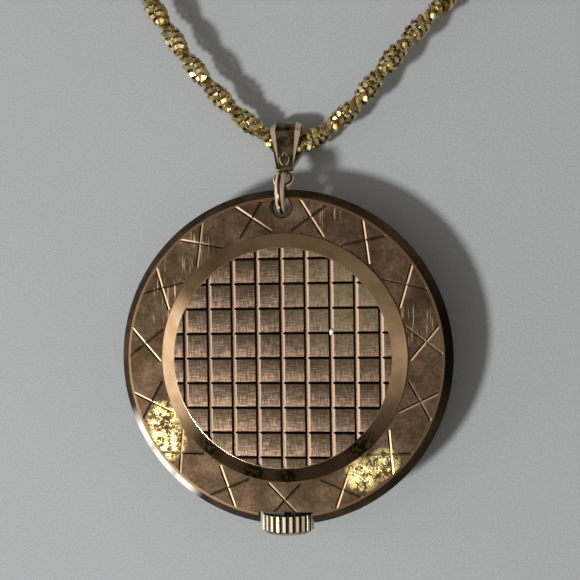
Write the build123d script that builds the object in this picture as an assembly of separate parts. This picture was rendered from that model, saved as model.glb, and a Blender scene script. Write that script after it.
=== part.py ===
from build123d import *
import os
from math import acos, atan2, cos, degrees, hypot, pi, radians, sin, sqrt, tan

# A pendant watch lying dial down. The origin is on the case axis at the plane that the bezel rests on,
# +Z points to the decorated back, +Y to the bail and -Y to the winding crown. Lengths are millimetres.

# Going barrel and centre pinion, which set how large the movement is
barrel_teeth = 72
centre_pinion_teeth = 10
barrel_module = 0.1
plate_margin = 1.0
plate_r = barrel_module * (barrel_teeth * 2 + centre_pinion_teeth) / 2 + plate_margin

# Case body, sized outwards from the movement: holding ring, spigot, cup, flange
ring_width = 2.6
ring_outer_r = plate_r + ring_width
ring_fit = 0.05
movement_bore_r = ring_outer_r + ring_fit * 2
case_wall = 0.8
spigot_r = movement_bore_r + case_wall
cup_r = spigot_r + case_wall
cup_bottom = 2.4
spigot_bottom = 1.2
dial_lip = 0.5
dial_lip_r = movement_bore_r - dial_lip
dial_seat = 2.25
cover_seat = 0.75
cover_r = movement_bore_r + cover_seat
flange_width = 4.35
flange_r = cover_r + flange_width
flange_bottom = 5.0
flange_top = 6.3
bevel_width = 0.8
bevel_height = 1.0
bevel_strip_width = 0.25
bevel_strip_height = 0.11
crosses = 15
cross_inset = 2.5
cross_r = flange_r - cross_inset
cross_reach = 1.7
cross_angle = 43.5
groove_width = 0.3
groove_depth = 0.06
hole_inset = 1.75
hole_y = flange_r - hole_inset
hole_r = 1.0
hole_sink = 0.15

# Back cover
cover_bevel = 1.4
cover_ring_inner_r = cover_r - cover_bevel
cover_edge_z = 6.45
cover_top = 7.3
cover_wall = 0.5
cover_spigot_depth = 0.8
cover_fit = 0.05
cell_pitch = 2.41
cell_lines = 4
groove_across_width = 0.28
groove_across_depth = 0.16
groove_along_steep = 0.2
groove_along_gentle = 0.35
groove_along_depth = 0.2
groove_end_gap = 0.06

# Bezel, crystal and its gasket
bezel_wall = 1.0
bezel_r = spigot_r + bezel_wall
bezel_top = 2.35
bezel_foot_inset = 0.6
bezel_foot_r = bezel_r - bezel_foot_inset
bezel_shoulder = 0.7
bezel_lip_z = 0.35
bezel_fit = 0.05
gasket_wall = 0.6
gasket_fit = 0.05
crystal_r = spigot_r - gasket_wall - gasket_fit * 3
crystal_rim = 0.6
bezel_bore_r = crystal_r - crystal_rim
bezel_foot_slope = 0.55
bezel_foot_inner_r = bezel_bore_r + bezel_foot_slope
crystal_gap = 0.1
crystal_dome_r = bezel_bore_r - crystal_gap
crystal_apex = 0.15
crystal_wall = 0.7

# Dial, markers and hands
dial_fit = 0.2
dial_r = movement_bore_r - dial_fit
dial_thickness = 0.35
dial_hole_r = 0.95
dial_foot_r = 0.4
dial_foot_length = 0.8
dial_foot_inset = 1.3
dial_foot_place = plate_r - dial_foot_inset
marker_count = 12
marker_length = 1.6
marker_width = 0.5
marker_height = 0.15
marker_edge = 0.7
minute_hand_z = 1.32
minute_hand_inset = 1.7
minute_hand_length = dial_lip_r - minute_hand_inset
minute_hand_angle = 150.0
hour_hand_z = 1.66
hour_hand_inset = 4.7
hour_hand_length = dial_lip_r - hour_hand_inset
hour_hand_angle = 35.0
hand_thickness = 0.12
hand_width = 0.7
hand_hub_r = 0.95

# Movement frame
plate_top = 4.0
bridge_bottom = 5.6
bridge_top = 5.95
bridge_inset = 0.3
bridge_gap = 0.25
pillar_r = 0.8
pillar_inset = 1.3
pillar_place_r = plate_r - pillar_inset
bridge_split = 0.75
screw_head_r = 0.6
screw_head_height = 0.3
screw_shank_r = 0.32
screw_slot = 0.14
screw_length = 1.9
short_screw_length = 0.5
clamp_width = 1.8
clamp_thickness = 0.2
clamp_reach = 1.6
clamp_inset = 0.85
clamp_place_r = plate_r - clamp_inset

# Running train
jewel_r = 0.55
jewel_depth = 0.35
arbor_r = 0.2
pivot_r = 0.11
pivot_clearance = 0.03
barrel_angle = -15.0
third_angle = 120.0
fourth_angle = 218.5
escape_angle = 190.9
pallet_angle = -59.7
centre_teeth = 64
third_teeth = 60
third_pinion_teeth = 8
fourth_teeth = 70
fourth_pinion_teeth = 8
escape_pinion_teeth = 7
escape_teeth = 15
centre_module = 0.09
third_module = 0.085
fourth_module = 0.07
escape_r = 2.0
pallet_reach = 2.31
fork_reach = 1.86
rim_r = 3.2
rim_wall = 0.4
rim_bottom = 5.33
rim_top = 5.57
roller_r = 0.45
cock_bottom = 5.85
cock_top = 6.2
cock_end_r = 0.8
cock_foot_reach = 4.5
cock_foot_angle = -65.0
pallet_cock_bottom = 4.95
pallet_cock_top = 5.1
pallet_foot_r = 0.5
pallet_foot_reach = 1.9
wheel_z = {"centre": 5.08, "third": 4.8, "fourth": 4.35, "escape": 4.68}
wheel_thickness = 0.15
wheel_spokes = 4
balance_spokes = 2
centre_pinion_z = (4.2, 4.7)
third_pinion_z = (4.97, 5.45)
fourth_pinion_z = (4.62, 5.05)
escape_pinion_z = (4.28, 4.6)
stone_angle = 30.0
stone_length = 0.3
collet_r = 0.4
hair_pitch = 0.2
hair_coils = 6
hair_thickness = 0.06
hair_height = 0.15
regulator_reach = 2.6
wheel_rim = 0.45
spoke_width = 0.4

# Barrel and winding wheels
barrel_bottom = 3.6
barrel_top = 5.0
drum_inset = 0.3
barrel_drum_r = barrel_module * barrel_teeth / 2 - drum_inset
barrel_wall = 0.2
barrel_shaft_r = 0.4
barrel_core_r = 0.9
barrel_teeth_z = (4.3, 4.6)
shaft_end = 0.5
spring_thickness = 0.12
spring_coils = 7
ratchet_teeth = 63
crown_wheel_teeth = 29
winding_module = 0.12
ratchet_bottom = 5.98
ratchet_top = 6.25
crown_wheel_bottom = 5.85
contrate_depth = 0.1
crown_wheel_y = 4.9
click_angle = 75.0
click_gap = 0.718
click_spring_length = 2.3
click_thickness = 0.2
click_turn = 13.0

# Motion and keyless works
cannon_teeth = 12
minute_teeth = 36
minute_pinion_teeth = 10
hour_teeth = 40
setting_teeth = 16
motion_module = 0.1
minute_wheel_angle = -70.0
setting_angle = -100.0
motion_top = 3.3
stem_z = 4.6
stem_r = 0.47
stem_groove_r = 0.3
stem_end = 3.9
winding_pinion_r = 1.2
winding_pinion_teeth = 20
winding_pinion_near = 6.45
winding_pinion_length = 0.95
clutch_r = 0.92
clutch_near = 5.35
clutch_length = 1.0
clutch_groove = 0.35
running_clearance = 0.03
cannon_wall = 0.22
hour_tube_r = 0.72
post_r = 0.25
pivot_length = 0.3
lever_thickness = 0.2
lever_boss_r = 0.5
lever_pin_r = 0.12
lever_side = 2.6
lever_y = 7.1
yoke_side = 3.4
yoke_y = 5.4
lever_groove_near = 7.5
lever_groove_far = 8.1
stem_in_crown = 0.8

# Crown and its gasket
crown_r = 2.55
crown_inset = 1.2
crown_near = flange_r - crown_inset
crown_length = 2.0
crown_flutes = 24
flute_r = 0.2
crown_round = 0.35
crown_side_gap = 0.15
crown_gap = 0.2
stem_channel_r = 1.1
crown_gasket_r = 0.92
crown_gasket_inset = 0.45
crown_gasket_place = movement_bore_r + crown_gasket_inset
crown_gasket_length = 0.55

# Jump ring and bail
ring_hang = 1.45
ring_y = hole_y + ring_hang
ring_z = 5.6
ring_mean_r = 1.6
ring_wire_r = 0.48
eye_inner_r = 0.58
eye_wire_r = 0.24
bail_slope = 33.7
bail_reach = 6.66
bail_wall = 0.33
bail_loop_r = 1.5
bail_width = 3.1
bail_foot_width = 1.7

# Chain and clasp
chain_r = 1.1
in_bail_half = 1.7
coil_pitch = 2.7
coil_turns = 2.5
coil_r = 13.1
coil_y = 66.0
coil_tuck = 1.4
clasp_mean_r = 2.1
clasp_wire_r = 0.5
clasp_z = 1.02
clasp_mouth_start = 62.0
clasp_mouth_end = 116.0
clasp_bore = 104.0
clasp_socket = 5.0
clasp_cut_overrun = 1.0
bolt_r = 0.28
bolt_tail = 40.0
thumb_r = 0.15
clasp_link_r = 1.25
clasp_link_wire_r = 0.25

overrun = 1.0
tooth_root_share = 0.31
tooth_tip_share = 0.13
addendum_share = 0.85
dedendum_share = 1.15


def save(node, shape):
    shape.label = node
    export_step(shape, f"parts/{node}.step")


def polar(origin, reach, angle):
    return (origin[0] + reach * cos(radians(angle)), origin[1] + reach * sin(radians(angle)))


def disc(r, low, high, place=(0, 0)):
    return Pos(place[0], place[1], low) * Cylinder(r, high - low, align=(Align.CENTER, Align.CENTER, Align.MIN))


def ring(outer_r, inner_r, low, high, place=(0, 0)):
    gap = (high - low) * 0.5
    return disc(outer_r, low, high, place) - disc(inner_r, low - gap, high + gap, place)


def block(x_low, x_high, y_low, y_high, low, high):
    corner = (Align.MIN, Align.MIN, Align.MIN)
    return Pos(x_low, y_low, low) * Box(x_high - x_low, y_high - y_low, high - low, align=corner)


def plate(outline, low, high):
    return Pos(0, 0, low) * extrude(make_face(Polyline(*outline, close=True)), high - low)


def turned(outline):
    """A body of revolution about Z from its (radius, height) outline."""
    return revolve(make_face(Polyline(*[(r, 0, z) for r, z in outline], close=True)), Axis.Z)


def link(start, start_r, end, end_r, low, high):
    """Two discs in plan with the straight tangent bar between them."""
    gap = hypot(end[0] - start[0], end[1] - start[1])
    facing = degrees(atan2(end[1] - start[1], end[0] - start[0]))
    tangent = degrees(acos((start_r - end_r) / gap))
    sides = [
        polar(start, start_r, facing + tangent),
        polar(start, start_r, facing - tangent),
        polar(end, end_r, facing - tangent),
        polar(end, end_r, facing + tangent),
    ]
    return plate(sides, low, high) + disc(start_r, low, high, start) + disc(end_r, low, high, end)


def toothed(teeth, module, low, high, place, phase=0.0):
    """A gear with straight-sided teeth, whose first tooth stands at the phase angle."""
    pitch_r = teeth * module / 2
    root_r = pitch_r - dedendum_share * module
    tip_r = pitch_r + addendum_share * module
    pitch = 360.0 / teeth
    outline = []
    for tooth in range(teeth):
        facing = phase + tooth * pitch
        outline.append(polar(place, root_r, facing - tooth_root_share * pitch))
        outline.append(polar(place, tip_r, facing - tooth_tip_share * pitch))
        outline.append(polar(place, tip_r, facing + tooth_tip_share * pitch))
        outline.append(polar(place, root_r, facing + tooth_root_share * pitch))
    return plate(outline, low, high)


def meshing_phase(driver_phase, driver_teeth, teeth, facing):
    """The phase of a gear that stands at the facing angle from its driver, tooth in gap."""
    driver_share = ((facing - driver_phase) * driver_teeth / 360.0) % 1.0
    return facing + 180.0 - (0.5 - driver_share) * 360.0 / teeth


def spoked(teeth, module, low, high, place, phase, spokes):
    """A train wheel: toothed rim, round hub and thin spokes."""
    outer = teeth * module / 2 - dedendum_share * module - wheel_rim
    hub = arbor_r + spoke_width
    wheel = toothed(teeth, module, low, high, place, phase) - disc(outer, low - overrun, high + overrun, place)
    wheel += disc(hub, low, high, place)
    for spoke in range(spokes):
        bar = block(0, outer + wheel_rim * 0.5, -spoke_width / 2, spoke_width / 2, low, high)
        wheel += Pos(place[0], place[1], 0) * Rot(0, 0, spoke * 360 / spokes) * bar
    return wheel


def screw(place, seat, length, shank_r=screw_shank_r):
    """A slotted cheese-head screw that stands on its seat height."""
    head = disc(screw_head_r, seat, seat + screw_head_height, place)
    slot = block(-screw_head_r * 2, screw_head_r * 2, -screw_slot / 2, screw_slot / 2,
                 seat + screw_head_height / 2, seat + screw_head_height * 2)
    return head + disc(shank_r, seat - length, seat, place) - Pos(place[0], place[1], 0) * slot


def staff(place, low, high, body_low, body_high):
    """A train arbor with a thinner pivot at each end."""
    return disc(pivot_r, low, high, place) + disc(arbor_r, body_low, body_high, place)


def torus_about_x(place, mean_r, wire_r):
    return Pos(*place) * Rot(0, 90, 0) * Torus(mean_r, wire_r)


# The case: cup, flange with its outer bevel, dial lip, engraved crosses, hanging hole, crown notch
bevel_r = flange_r - bevel_width
engraved_half = cross_reach / cos(radians(cross_angle))
vee = [(-groove_width / 2, 0), (groove_width / 2, 0), (0, -groove_depth)]


def engraved_line(angle, side):
    cutter = extrude(Plane.XZ * make_face(Polyline(*vee, close=True)), engraved_half, both=True)
    lean = Rot(0, 0, angle - 90 + side * cross_angle)
    at_cross = Pos(*polar((0, 0), cross_r, angle), flange_top)
    return at_cross * lean * cutter


def case_body():
    body = turned([
        (spigot_r, spigot_bottom), (spigot_r, cup_bottom), (cup_r, cup_bottom), (cup_r, flange_bottom),
        (flange_r, flange_bottom), (flange_r, flange_top - bevel_height),
        (bevel_r, flange_top - bevel_strip_height), (bevel_r - bevel_strip_width, flange_top),
        (movement_bore_r, flange_top), (movement_bore_r, dial_seat), (dial_lip_r, dial_seat),
        (dial_lip_r, spigot_bottom),
    ])
    body -= disc(hole_r, flange_bottom - overrun, flange_top + overrun, (0, hole_y))
    sink = Cone(hole_r, hole_r + hole_sink * 2, hole_sink * 2)
    body -= Pos(0, hole_y, flange_top) * sink
    notch = crown_r + crown_side_gap
    body -= block(-notch, notch, -flange_r - overrun, -crown_near + crown_gap, flange_bottom - overrun,
                  flange_top + overrun)
    body -= Pos(0, 0, stem_z) * Rot(90, 0, 0) * disc(stem_channel_r, crown_gasket_place - overrun, crown_near)
    for cross in range(crosses):
        angle = -90 + cross * 360 / crosses
        for side in (-1, 1):
            body -= engraved_line(angle, side)
    return body


# The snap-on back: polished bevel ring round a cross-grooved disc, with a spigot in the case bore
def grid_cutter(low_side, high_side, depth):
    """A V-shaped cutter along Y through the disc's middle, its two sides as wide as given."""
    face = make_face(Polyline((-low_side, 0), (high_side, 0), (0, -depth), close=True))
    return extrude(Plane.XZ * face, cover_ring_inner_r, both=True)


def back_cover():
    spigot = movement_bore_r - cover_fit
    cover = turned([
        (0, cover_top), (cover_ring_inner_r, cover_top), (cover_r, cover_edge_z), (cover_r, flange_top),
        (spigot, flange_top), (spigot, flange_top - cover_spigot_depth),
        (spigot - cover_wall, flange_top - cover_spigot_depth), (spigot - cover_wall, flange_top),
        (cover_ring_inner_r - cover_wall, cover_top - cover_wall), (0, cover_top - cover_wall),
    ])
    across = Rot(0, 0, 90) * grid_cutter(groove_across_width / 2, groove_across_width / 2, groove_across_depth)
    along = grid_cutter(groove_along_steep, groove_along_gentle, groove_along_depth)
    grooves = Part()
    for line in range(-cell_lines, cell_lines + 1):
        offset = line * cell_pitch
        grooves += Pos(0, offset, cover_top) * across
        grooves += Pos(offset, 0, cover_top) * along
    grooves &= disc(cover_ring_inner_r - groove_end_gap, cover_top - cover_wall, cover_top + cover_wall)
    return cover - grooves


# The dial side: bezel, domed crystal, sealing gasket
def bezel():
    seat = spigot_r + bezel_fit
    return turned([
        (bezel_foot_r, 0), (bezel_r, bezel_shoulder), (bezel_r, bezel_top), (seat, bezel_top),
        (seat, spigot_bottom), (crystal_r + gasket_wall + gasket_fit * 2, spigot_bottom),
        (crystal_r + gasket_wall + gasket_fit * 2, bezel_shoulder), (bezel_bore_r, bezel_shoulder),
        (bezel_bore_r, bezel_lip_z), (bezel_foot_inner_r, 0),
    ])


def dome_arc(r, edge_z, apex_z):
    """The arc from the dome's edge through its side to its apex on the axis."""
    sag = edge_z - apex_z
    sphere_r = (r * r + sag * sag) / (2 * sag)
    middle = r / 2
    z = apex_z + sphere_r - sqrt(sphere_r ** 2 - middle ** 2)
    return ThreePointArc((r, 0, edge_z), (middle, 0, z), (0, 0, apex_z))


def crystal():
    rim_z = bezel_shoulder
    outer_edge = bezel_shoulder - crystal_wall * 0.25
    inner_r = crystal_dome_r - crystal_wall * 0.5
    outline = Curve() + [
        dome_arc(crystal_dome_r, outer_edge, crystal_apex),
        Line((0, 0, crystal_apex), (0, 0, crystal_apex + crystal_wall)),
        dome_arc(inner_r, spigot_bottom, crystal_apex + crystal_wall),
        Polyline((inner_r, 0, spigot_bottom), (crystal_r, 0, spigot_bottom), (crystal_r, 0, rim_z),
                 (crystal_dome_r, 0, rim_z), (crystal_dome_r, 0, outer_edge)),
    ]
    return revolve(make_face(outline), Axis.Z)


def crystal_gasket():
    inner = crystal_r + gasket_fit
    return ring(inner + gasket_wall, inner, bezel_shoulder + gasket_fit, spigot_bottom - gasket_fit)


# The dial with its two feet, twelve applied bars, hands
def dial():
    face = ring(dial_r, dial_hole_r, dial_seat, dial_seat + dial_thickness)
    for side in (-1, 1):
        foot = polar((0, 0), dial_foot_place, 90 + side * 100)
        face += disc(dial_foot_r, dial_seat + dial_thickness, dial_seat + dial_thickness + dial_foot_length, foot)
    return face


def hour_markers():
    outer = dial_lip_r - marker_edge
    bars = Part()
    for hour in range(marker_count):
        bar = block(outer - marker_length, outer, -marker_width / 2, marker_width / 2,
                    dial_seat - marker_height, dial_seat)
        bars += Rot(0, 0, 90 + hour * 360 / marker_count) * bar
    return bars


def hand(length, low, hub_bore):
    tail = hand_hub_r * 2
    tip = hand_width * 0.2
    blade = plate([(-tail, -hand_width / 2), (length * 0.25, -hand_width / 2), (length, -tip / 2),
                   (length, tip / 2), (length * 0.25, hand_width / 2), (-tail, hand_width / 2)],
                  low, low + hand_thickness)
    hub = disc(hand_hub_r, low, low + hand_thickness)
    return blade + hub - disc(hub_bore, low - overrun, low + hand_thickness + overrun)


# Plan of the movement, each axis placed from its neighbour by the gear sizes
centre_at = (0, 0)
barrel_at = polar(centre_at, barrel_module * (barrel_teeth + centre_pinion_teeth) / 2, barrel_angle)
third_at = polar(centre_at, centre_module * (centre_teeth + third_pinion_teeth) / 2, third_angle)
fourth_at = polar(third_at, third_module * (third_teeth + fourth_pinion_teeth) / 2, fourth_angle)
escape_at = polar(fourth_at, fourth_module * (fourth_teeth + escape_pinion_teeth) / 2, escape_angle)
pallet_at = polar(escape_at, pallet_reach, pallet_angle)
balance_at = polar(pallet_at, fork_reach, pallet_angle)
minute_at = polar(centre_at, motion_module * (cannon_teeth + minute_teeth) / 2, minute_wheel_angle)
setting_at = polar(minute_at, motion_module * (minute_teeth + setting_teeth) / 2, setting_angle)
crown_wheel_at = (0, -crown_wheel_y)
ratchet_tip = winding_module * (ratchet_teeth / 2 + addendum_share)
click_at = polar(barrel_at, ratchet_tip + click_gap, click_angle)
cock_foot_at = polar(balance_at, cock_foot_reach, cock_foot_angle)
lever_at = (-lever_side, -lever_y)
yoke_at = (-yoke_side, -yoke_y)

plate_bottom = dial_seat + dial_thickness
bearing_hole_r = pivot_r + pivot_clearance
lower_jewel = plate_top - jewel_depth
upper_jewel = bridge_top - jewel_depth
barrel_pillars = [polar(centre_at, pillar_place_r, angle) for angle in (-60, 50, 85)]
train_pillars = [polar(centre_at, pillar_place_r, angle) for angle in (105, 145)]
clamps_at = [polar(centre_at, clamp_place_r, angle) for angle in (28, 168)]
pallet_foot_at = polar(pallet_at, pallet_foot_reach, -150)
jewelled = [third_at, fourth_at, escape_at, pallet_at, balance_at]


def bored(shape, r, low, high, places):
    for place in places:
        shape -= disc(r, low, high, place)
    return shape


def mainplate():
    base = disc(plate_r, plate_bottom, plate_top)
    half = clutch_r + stem_r
    base += block(-half, half, -plate_r * 0.985, -lever_groove_far, plate_top, stem_z + stem_r * 1.5)
    base += block(-half, half, -clutch_near + running_clearance, -stem_end - stem_r, plate_top,
                  stem_z + stem_r)
    base &= disc(plate_r, plate_bottom, bridge_bottom)
    base -= disc(barrel_teeth * barrel_module / 2 + bridge_gap, barrel_bottom - running_clearance * 2,
                 plate_top + overrun, barrel_at)
    base -= block(-half, half, -lever_groove_far, -clutch_near + running_clearance,
                  plate_bottom - overrun, plate_top + overrun)
    slot = lever_pin_r * 4
    base -= block(-slot, slot, -plate_r - overrun, -lever_groove_near, plate_bottom - overrun, stem_z)
    stem_hole = Pos(0, 0, stem_z) * Rot(90, 0, 0)
    base -= stem_hole * disc(stem_r + running_clearance, lever_groove_near, plate_r + overrun)
    base -= stem_hole * disc(stem_groove_r + running_clearance, 0, clutch_near)
    pocket = disc(motion_module * hour_teeth / 2 + bridge_gap, plate_bottom - overrun, motion_top)
    pocket += disc(motion_module * minute_teeth / 2 + bridge_gap, plate_bottom - overrun, motion_top, minute_at)
    pocket += disc(motion_module * setting_teeth / 2 + bridge_gap, plate_bottom - overrun, motion_top, setting_at)
    pocket += keyless_outline(lever_boss_r + bridge_gap, plate_bottom - overrun, motion_top)
    pocket += link(lever_at, lever_boss_r + bridge_gap, (-clutch_r, -lever_groove_far), lever_boss_r,
                   plate_bottom - overrun, motion_top)
    base -= pocket
    base += disc(post_r, plate_bottom, motion_top, minute_at) + disc(post_r, plate_bottom, motion_top, setting_at)
    base = bored(base, jewel_r, lower_jewel, plate_top + overrun, jewelled)
    base = bored(base, arbor_r + cannon_wall + running_clearance, motion_top - overrun, plate_top + overrun,
                 [centre_at])
    base = bored(base, barrel_shaft_r + running_clearance, barrel_bottom - shaft_end, plate_top, [barrel_at])
    feet = [polar(centre_at, dial_foot_place, 90 + side * 100) for side in (-1, 1)]
    base = bored(base, dial_foot_r + running_clearance, plate_bottom - overrun,
                 plate_bottom + dial_foot_length + running_clearance, feet)
    return bored(base, post_r + running_clearance, motion_top - overrun,
                 motion_top + pivot_length + running_clearance, [lever_at, yoke_at])


def keyless_outline(r, low, high):
    """The three-lobed outline shared by the keyless pocket and the plate that covers it."""
    inner = (-clutch_r, -winding_pinion_near)
    return link(lever_at, r, yoke_at, r, low, high) + link(lever_at, r, inner, r, low, high) \
        + link(yoke_at, r, inner, r, low, high)


def keyless_cover():
    return keyless_outline(lever_boss_r, plate_bottom, plate_bottom + lever_thickness) \
        - disc(post_r, plate_bottom - overrun, motion_top, lever_at) \
        - disc(post_r, plate_bottom - overrun, motion_top, yoke_at)


def movement_ring():
    inner = plate_r + ring_fit
    upper_r = movement_bore_r - cover_fit - cover_wall - cover_fit
    step_z = flange_top - cover_spigot_depth - cover_fit
    body = ring(ring_outer_r, inner, plate_bottom, step_z) + ring(upper_r, inner, step_z, bridge_top)
    half = stem_r * 1.5
    return body - block(-half, half, -ring_outer_r - overrun, -plate_r, stem_z - half, stem_z + half)


def bridge(cover, pillars, screws_at):
    """A bridge on its pillars, bored for its screws."""
    for pillar in pillars:
        cover += disc(pillar_r, plate_top, bridge_bottom, pillar)
    return bored(cover, screw_shank_r, plate_top, bridge_top + overrun, screws_at)


def barrel_bridge():
    edge_r = plate_r - bridge_inset
    cover = disc(edge_r, bridge_bottom, bridge_top) & block(-bridge_split, edge_r, -edge_r, edge_r, bridge_bottom,
                                                            bridge_top)
    wheel_r = winding_module * crown_wheel_teeth / 2 + bridge_gap
    cover -= disc(wheel_r, crown_wheel_bottom - contrate_depth - running_clearance, bridge_top + overrun,
                  crown_wheel_at)
    half = winding_pinion_r + bridge_gap
    cover -= block(-half, half, -plate_r, -winding_pinion_near + running_clearance, bridge_bottom - overrun,
                   bridge_top + overrun)
    cover -= disc(barrel_shaft_r + running_clearance, bridge_bottom - overrun, bridge_top + overrun, barrel_at)
    cover = bored(cover, jewel_r, upper_jewel, bridge_top + overrun, [centre_at])
    cover = bridge(cover, barrel_pillars, barrel_pillars)
    return bored(cover, screw_shank_r, bridge_bottom - overrun, bridge_top + overrun,
                 [click_at, clamps_at[0], crown_wheel_at])


def train_bridge():
    edge_r = plate_r - bridge_inset
    side = -bridge_split - bridge_gap
    low_y = escape_at[1] - jewel_r * 3
    cover = disc(edge_r, bridge_bottom, bridge_top) & block(-edge_r, side, low_y, edge_r, bridge_bottom, bridge_top)
    cover -= disc(rim_r + bridge_gap, bridge_bottom - overrun, bridge_top + overrun, balance_at)
    cover = bored(cover, jewel_r, upper_jewel, bridge_top + overrun, [third_at, fourth_at, escape_at])
    cover = bridge(cover, train_pillars, train_pillars)
    return bored(cover, screw_shank_r, bridge_bottom - overrun, bridge_top + overrun, [clamps_at[1]])


def pallet_cock():
    arm = link(pallet_foot_at, pallet_foot_r, pallet_at, jewel_r + pivot_r, pallet_cock_bottom, pallet_cock_top)
    arm += disc(pallet_foot_r, plate_top, pallet_cock_bottom, pallet_foot_at)
    return bored(arm, jewel_r, pallet_cock_bottom - overrun, pallet_cock_top + overrun, [pallet_at])


def balance_cock():
    arm = link(cock_foot_at, pillar_r, balance_at, cock_end_r, cock_bottom, cock_top)
    arm += disc(pillar_r, plate_top, cock_bottom, cock_foot_at)
    arm = bored(arm, jewel_r, cock_bottom - overrun, cock_top + overrun, [balance_at])
    return bored(arm, screw_shank_r, plate_top, cock_top + overrun, [cock_foot_at])


def bridge_screws():
    screws = Part()
    for place in barrel_pillars + train_pillars:
        screws += screw(place, bridge_top, screw_length)
    screws += screw(cock_foot_at, cock_top, screw_length)
    return screws


def click_screw():
    return screw(click_at, bridge_top + running_clearance * 2 + click_thickness, short_screw_length)


def case_clamps():
    clamps = Part()
    for place in clamps_at:
        facing = degrees(atan2(place[1], place[0]))
        bar = block(clamp_place_r - clamp_width / 2, clamp_place_r + clamp_reach, -clamp_width / 2,
                    clamp_width / 2, bridge_top, bridge_top + clamp_thickness)
        clamps += Rot(0, 0, facing) * bar
    return bored(clamps, screw_shank_r, bridge_top - overrun, bridge_top + overrun, clamps_at)


def case_clamp_screws():
    screws = Part()
    for place in clamps_at:
        screws += screw(place, bridge_top + clamp_thickness, short_screw_length)
    return screws


def jewels():
    stones = Part()
    for place in jewelled:
        stones += ring(jewel_r, bearing_hole_r, lower_jewel, plate_top, place)
    for place in (centre_at, third_at, fourth_at, escape_at):
        stones += ring(jewel_r, bearing_hole_r, upper_jewel, bridge_top, place)
    stones += ring(jewel_r, bearing_hole_r, pallet_cock_bottom, pallet_cock_top, pallet_at)
    return stones + ring(jewel_r, bearing_hole_r, cock_bottom, cock_top, balance_at)


# The running train, meshed from the centre wheel outwards
centre_phase = 0.0
third_phase = meshing_phase(centre_phase, centre_teeth, third_pinion_teeth, third_angle)
fourth_phase = meshing_phase(third_phase, third_teeth, fourth_pinion_teeth, fourth_angle)
escape_phase = meshing_phase(fourth_phase, fourth_teeth, escape_pinion_teeth, escape_angle)
barrel_phase = meshing_phase(centre_phase, centre_pinion_teeth, barrel_teeth, barrel_angle)
wheel_top = {name: low + wheel_thickness for name, low in wheel_z.items()}
staff_low = lower_jewel + pivot_clearance
staff_body_low = plate_top + pivot_clearance
staff_body_high = upper_jewel - pivot_clearance
staff_high = bridge_top - pivot_clearance


def train_wheel(name, place, teeth, module, pinion_teeth, pinion_module, pinion_z, phase):
    wheel = spoked(teeth, module, wheel_z[name], wheel_top[name], place, phase, wheel_spokes)
    wheel += toothed(pinion_teeth, pinion_module, pinion_z[0], pinion_z[1], place, phase)
    return wheel + staff(place, staff_low, staff_high, staff_body_low, staff_body_high)


def centre_wheel():
    wheel = spoked(centre_teeth, centre_module, wheel_z["centre"], wheel_top["centre"], centre_at, centre_phase,
                   wheel_spokes)
    wheel += toothed(centre_pinion_teeth, barrel_module, centre_pinion_z[0], centre_pinion_z[1], centre_at,
                     centre_phase)
    return wheel + staff(centre_at, centre_pinion_z[0], staff_high, minute_hand_z - hand_thickness,
                         staff_body_high)


def third_wheel():
    return train_wheel("third", third_at, third_teeth, third_module, third_pinion_teeth, centre_module,
                       third_pinion_z, third_phase)


def fourth_wheel():
    return train_wheel("fourth", fourth_at, fourth_teeth, fourth_module, fourth_pinion_teeth, third_module,
                       fourth_pinion_z, fourth_phase)


def escape_wheel():
    """Fifteen long hooked teeth on a thin rim."""
    pitch = 360 / escape_teeth
    rim = escape_r * 0.78
    outline = []
    for tooth in range(escape_teeth):
        facing = escape_phase + tooth * pitch
        outline.append(polar(escape_at, rim, facing - pitch * 0.3))
        outline.append(polar(escape_at, escape_r, facing + pitch * 0.1))
        outline.append(polar(escape_at, escape_r, facing + pitch * 0.2))
        outline.append(polar(escape_at, rim, facing + pitch * 0.12))
    low = wheel_z["escape"]
    high = wheel_top["escape"]
    wheel = plate(outline, low, high) - disc(rim - arbor_r, low - overrun, high + overrun, escape_at)
    wheel += disc(arbor_r * 2, low, high, escape_at)
    for spoke in range(wheel_spokes):
        bar = block(0, rim - arbor_r / 2, -arbor_r / 2, arbor_r / 2, low, high)
        wheel += Pos(*escape_at) * Rot(0, 0, spoke * 360 / wheel_spokes) * bar
    wheel += toothed(escape_pinion_teeth, fourth_module, escape_pinion_z[0], escape_pinion_z[1], escape_at,
                     escape_phase)
    return wheel + staff(escape_at, staff_low, staff_high, staff_body_low, staff_body_high)


def stone_place(side):
    return polar(escape_at, escape_r + stone_length / 2, pallet_angle + side * stone_angle)


def pallet_fork():
    low = wheel_z["escape"]
    high = wheel_top["escape"]
    lever_end = polar(pallet_at, fork_reach - roller_r - lever_pin_r * 2, pallet_angle)
    fork = link(pallet_at, arbor_r, lever_end, lever_pin_r, low, high)
    for side in (-1, 1):
        arm_end = polar(escape_at, escape_r + stone_length * 1.4, pallet_angle + side * stone_angle)
        fork += link(pallet_at, arbor_r, arm_end, lever_pin_r, low, high)
        horn = polar(lever_end, lever_pin_r * 2, pallet_angle + side * 70)
        fork += link(lever_end, lever_pin_r * 0.6, horn, lever_pin_r * 0.5, low, high)
    staff_top = pallet_cock_top - pivot_clearance
    return fork + staff(pallet_at, staff_low, staff_top, staff_body_low, pallet_cock_bottom - pivot_clearance)


def pallet_stones():
    stones = Part()
    for side in (-1, 1):
        angle = pallet_angle + side * stone_angle
        stone = block(-stone_length / 2, stone_length / 2, -lever_pin_r / 2, lever_pin_r / 2,
                      wheel_z["escape"], wheel_top["escape"])
        stones += Pos(*stone_place(side)) * Rot(0, 0, angle) * stone
    return stones


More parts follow.
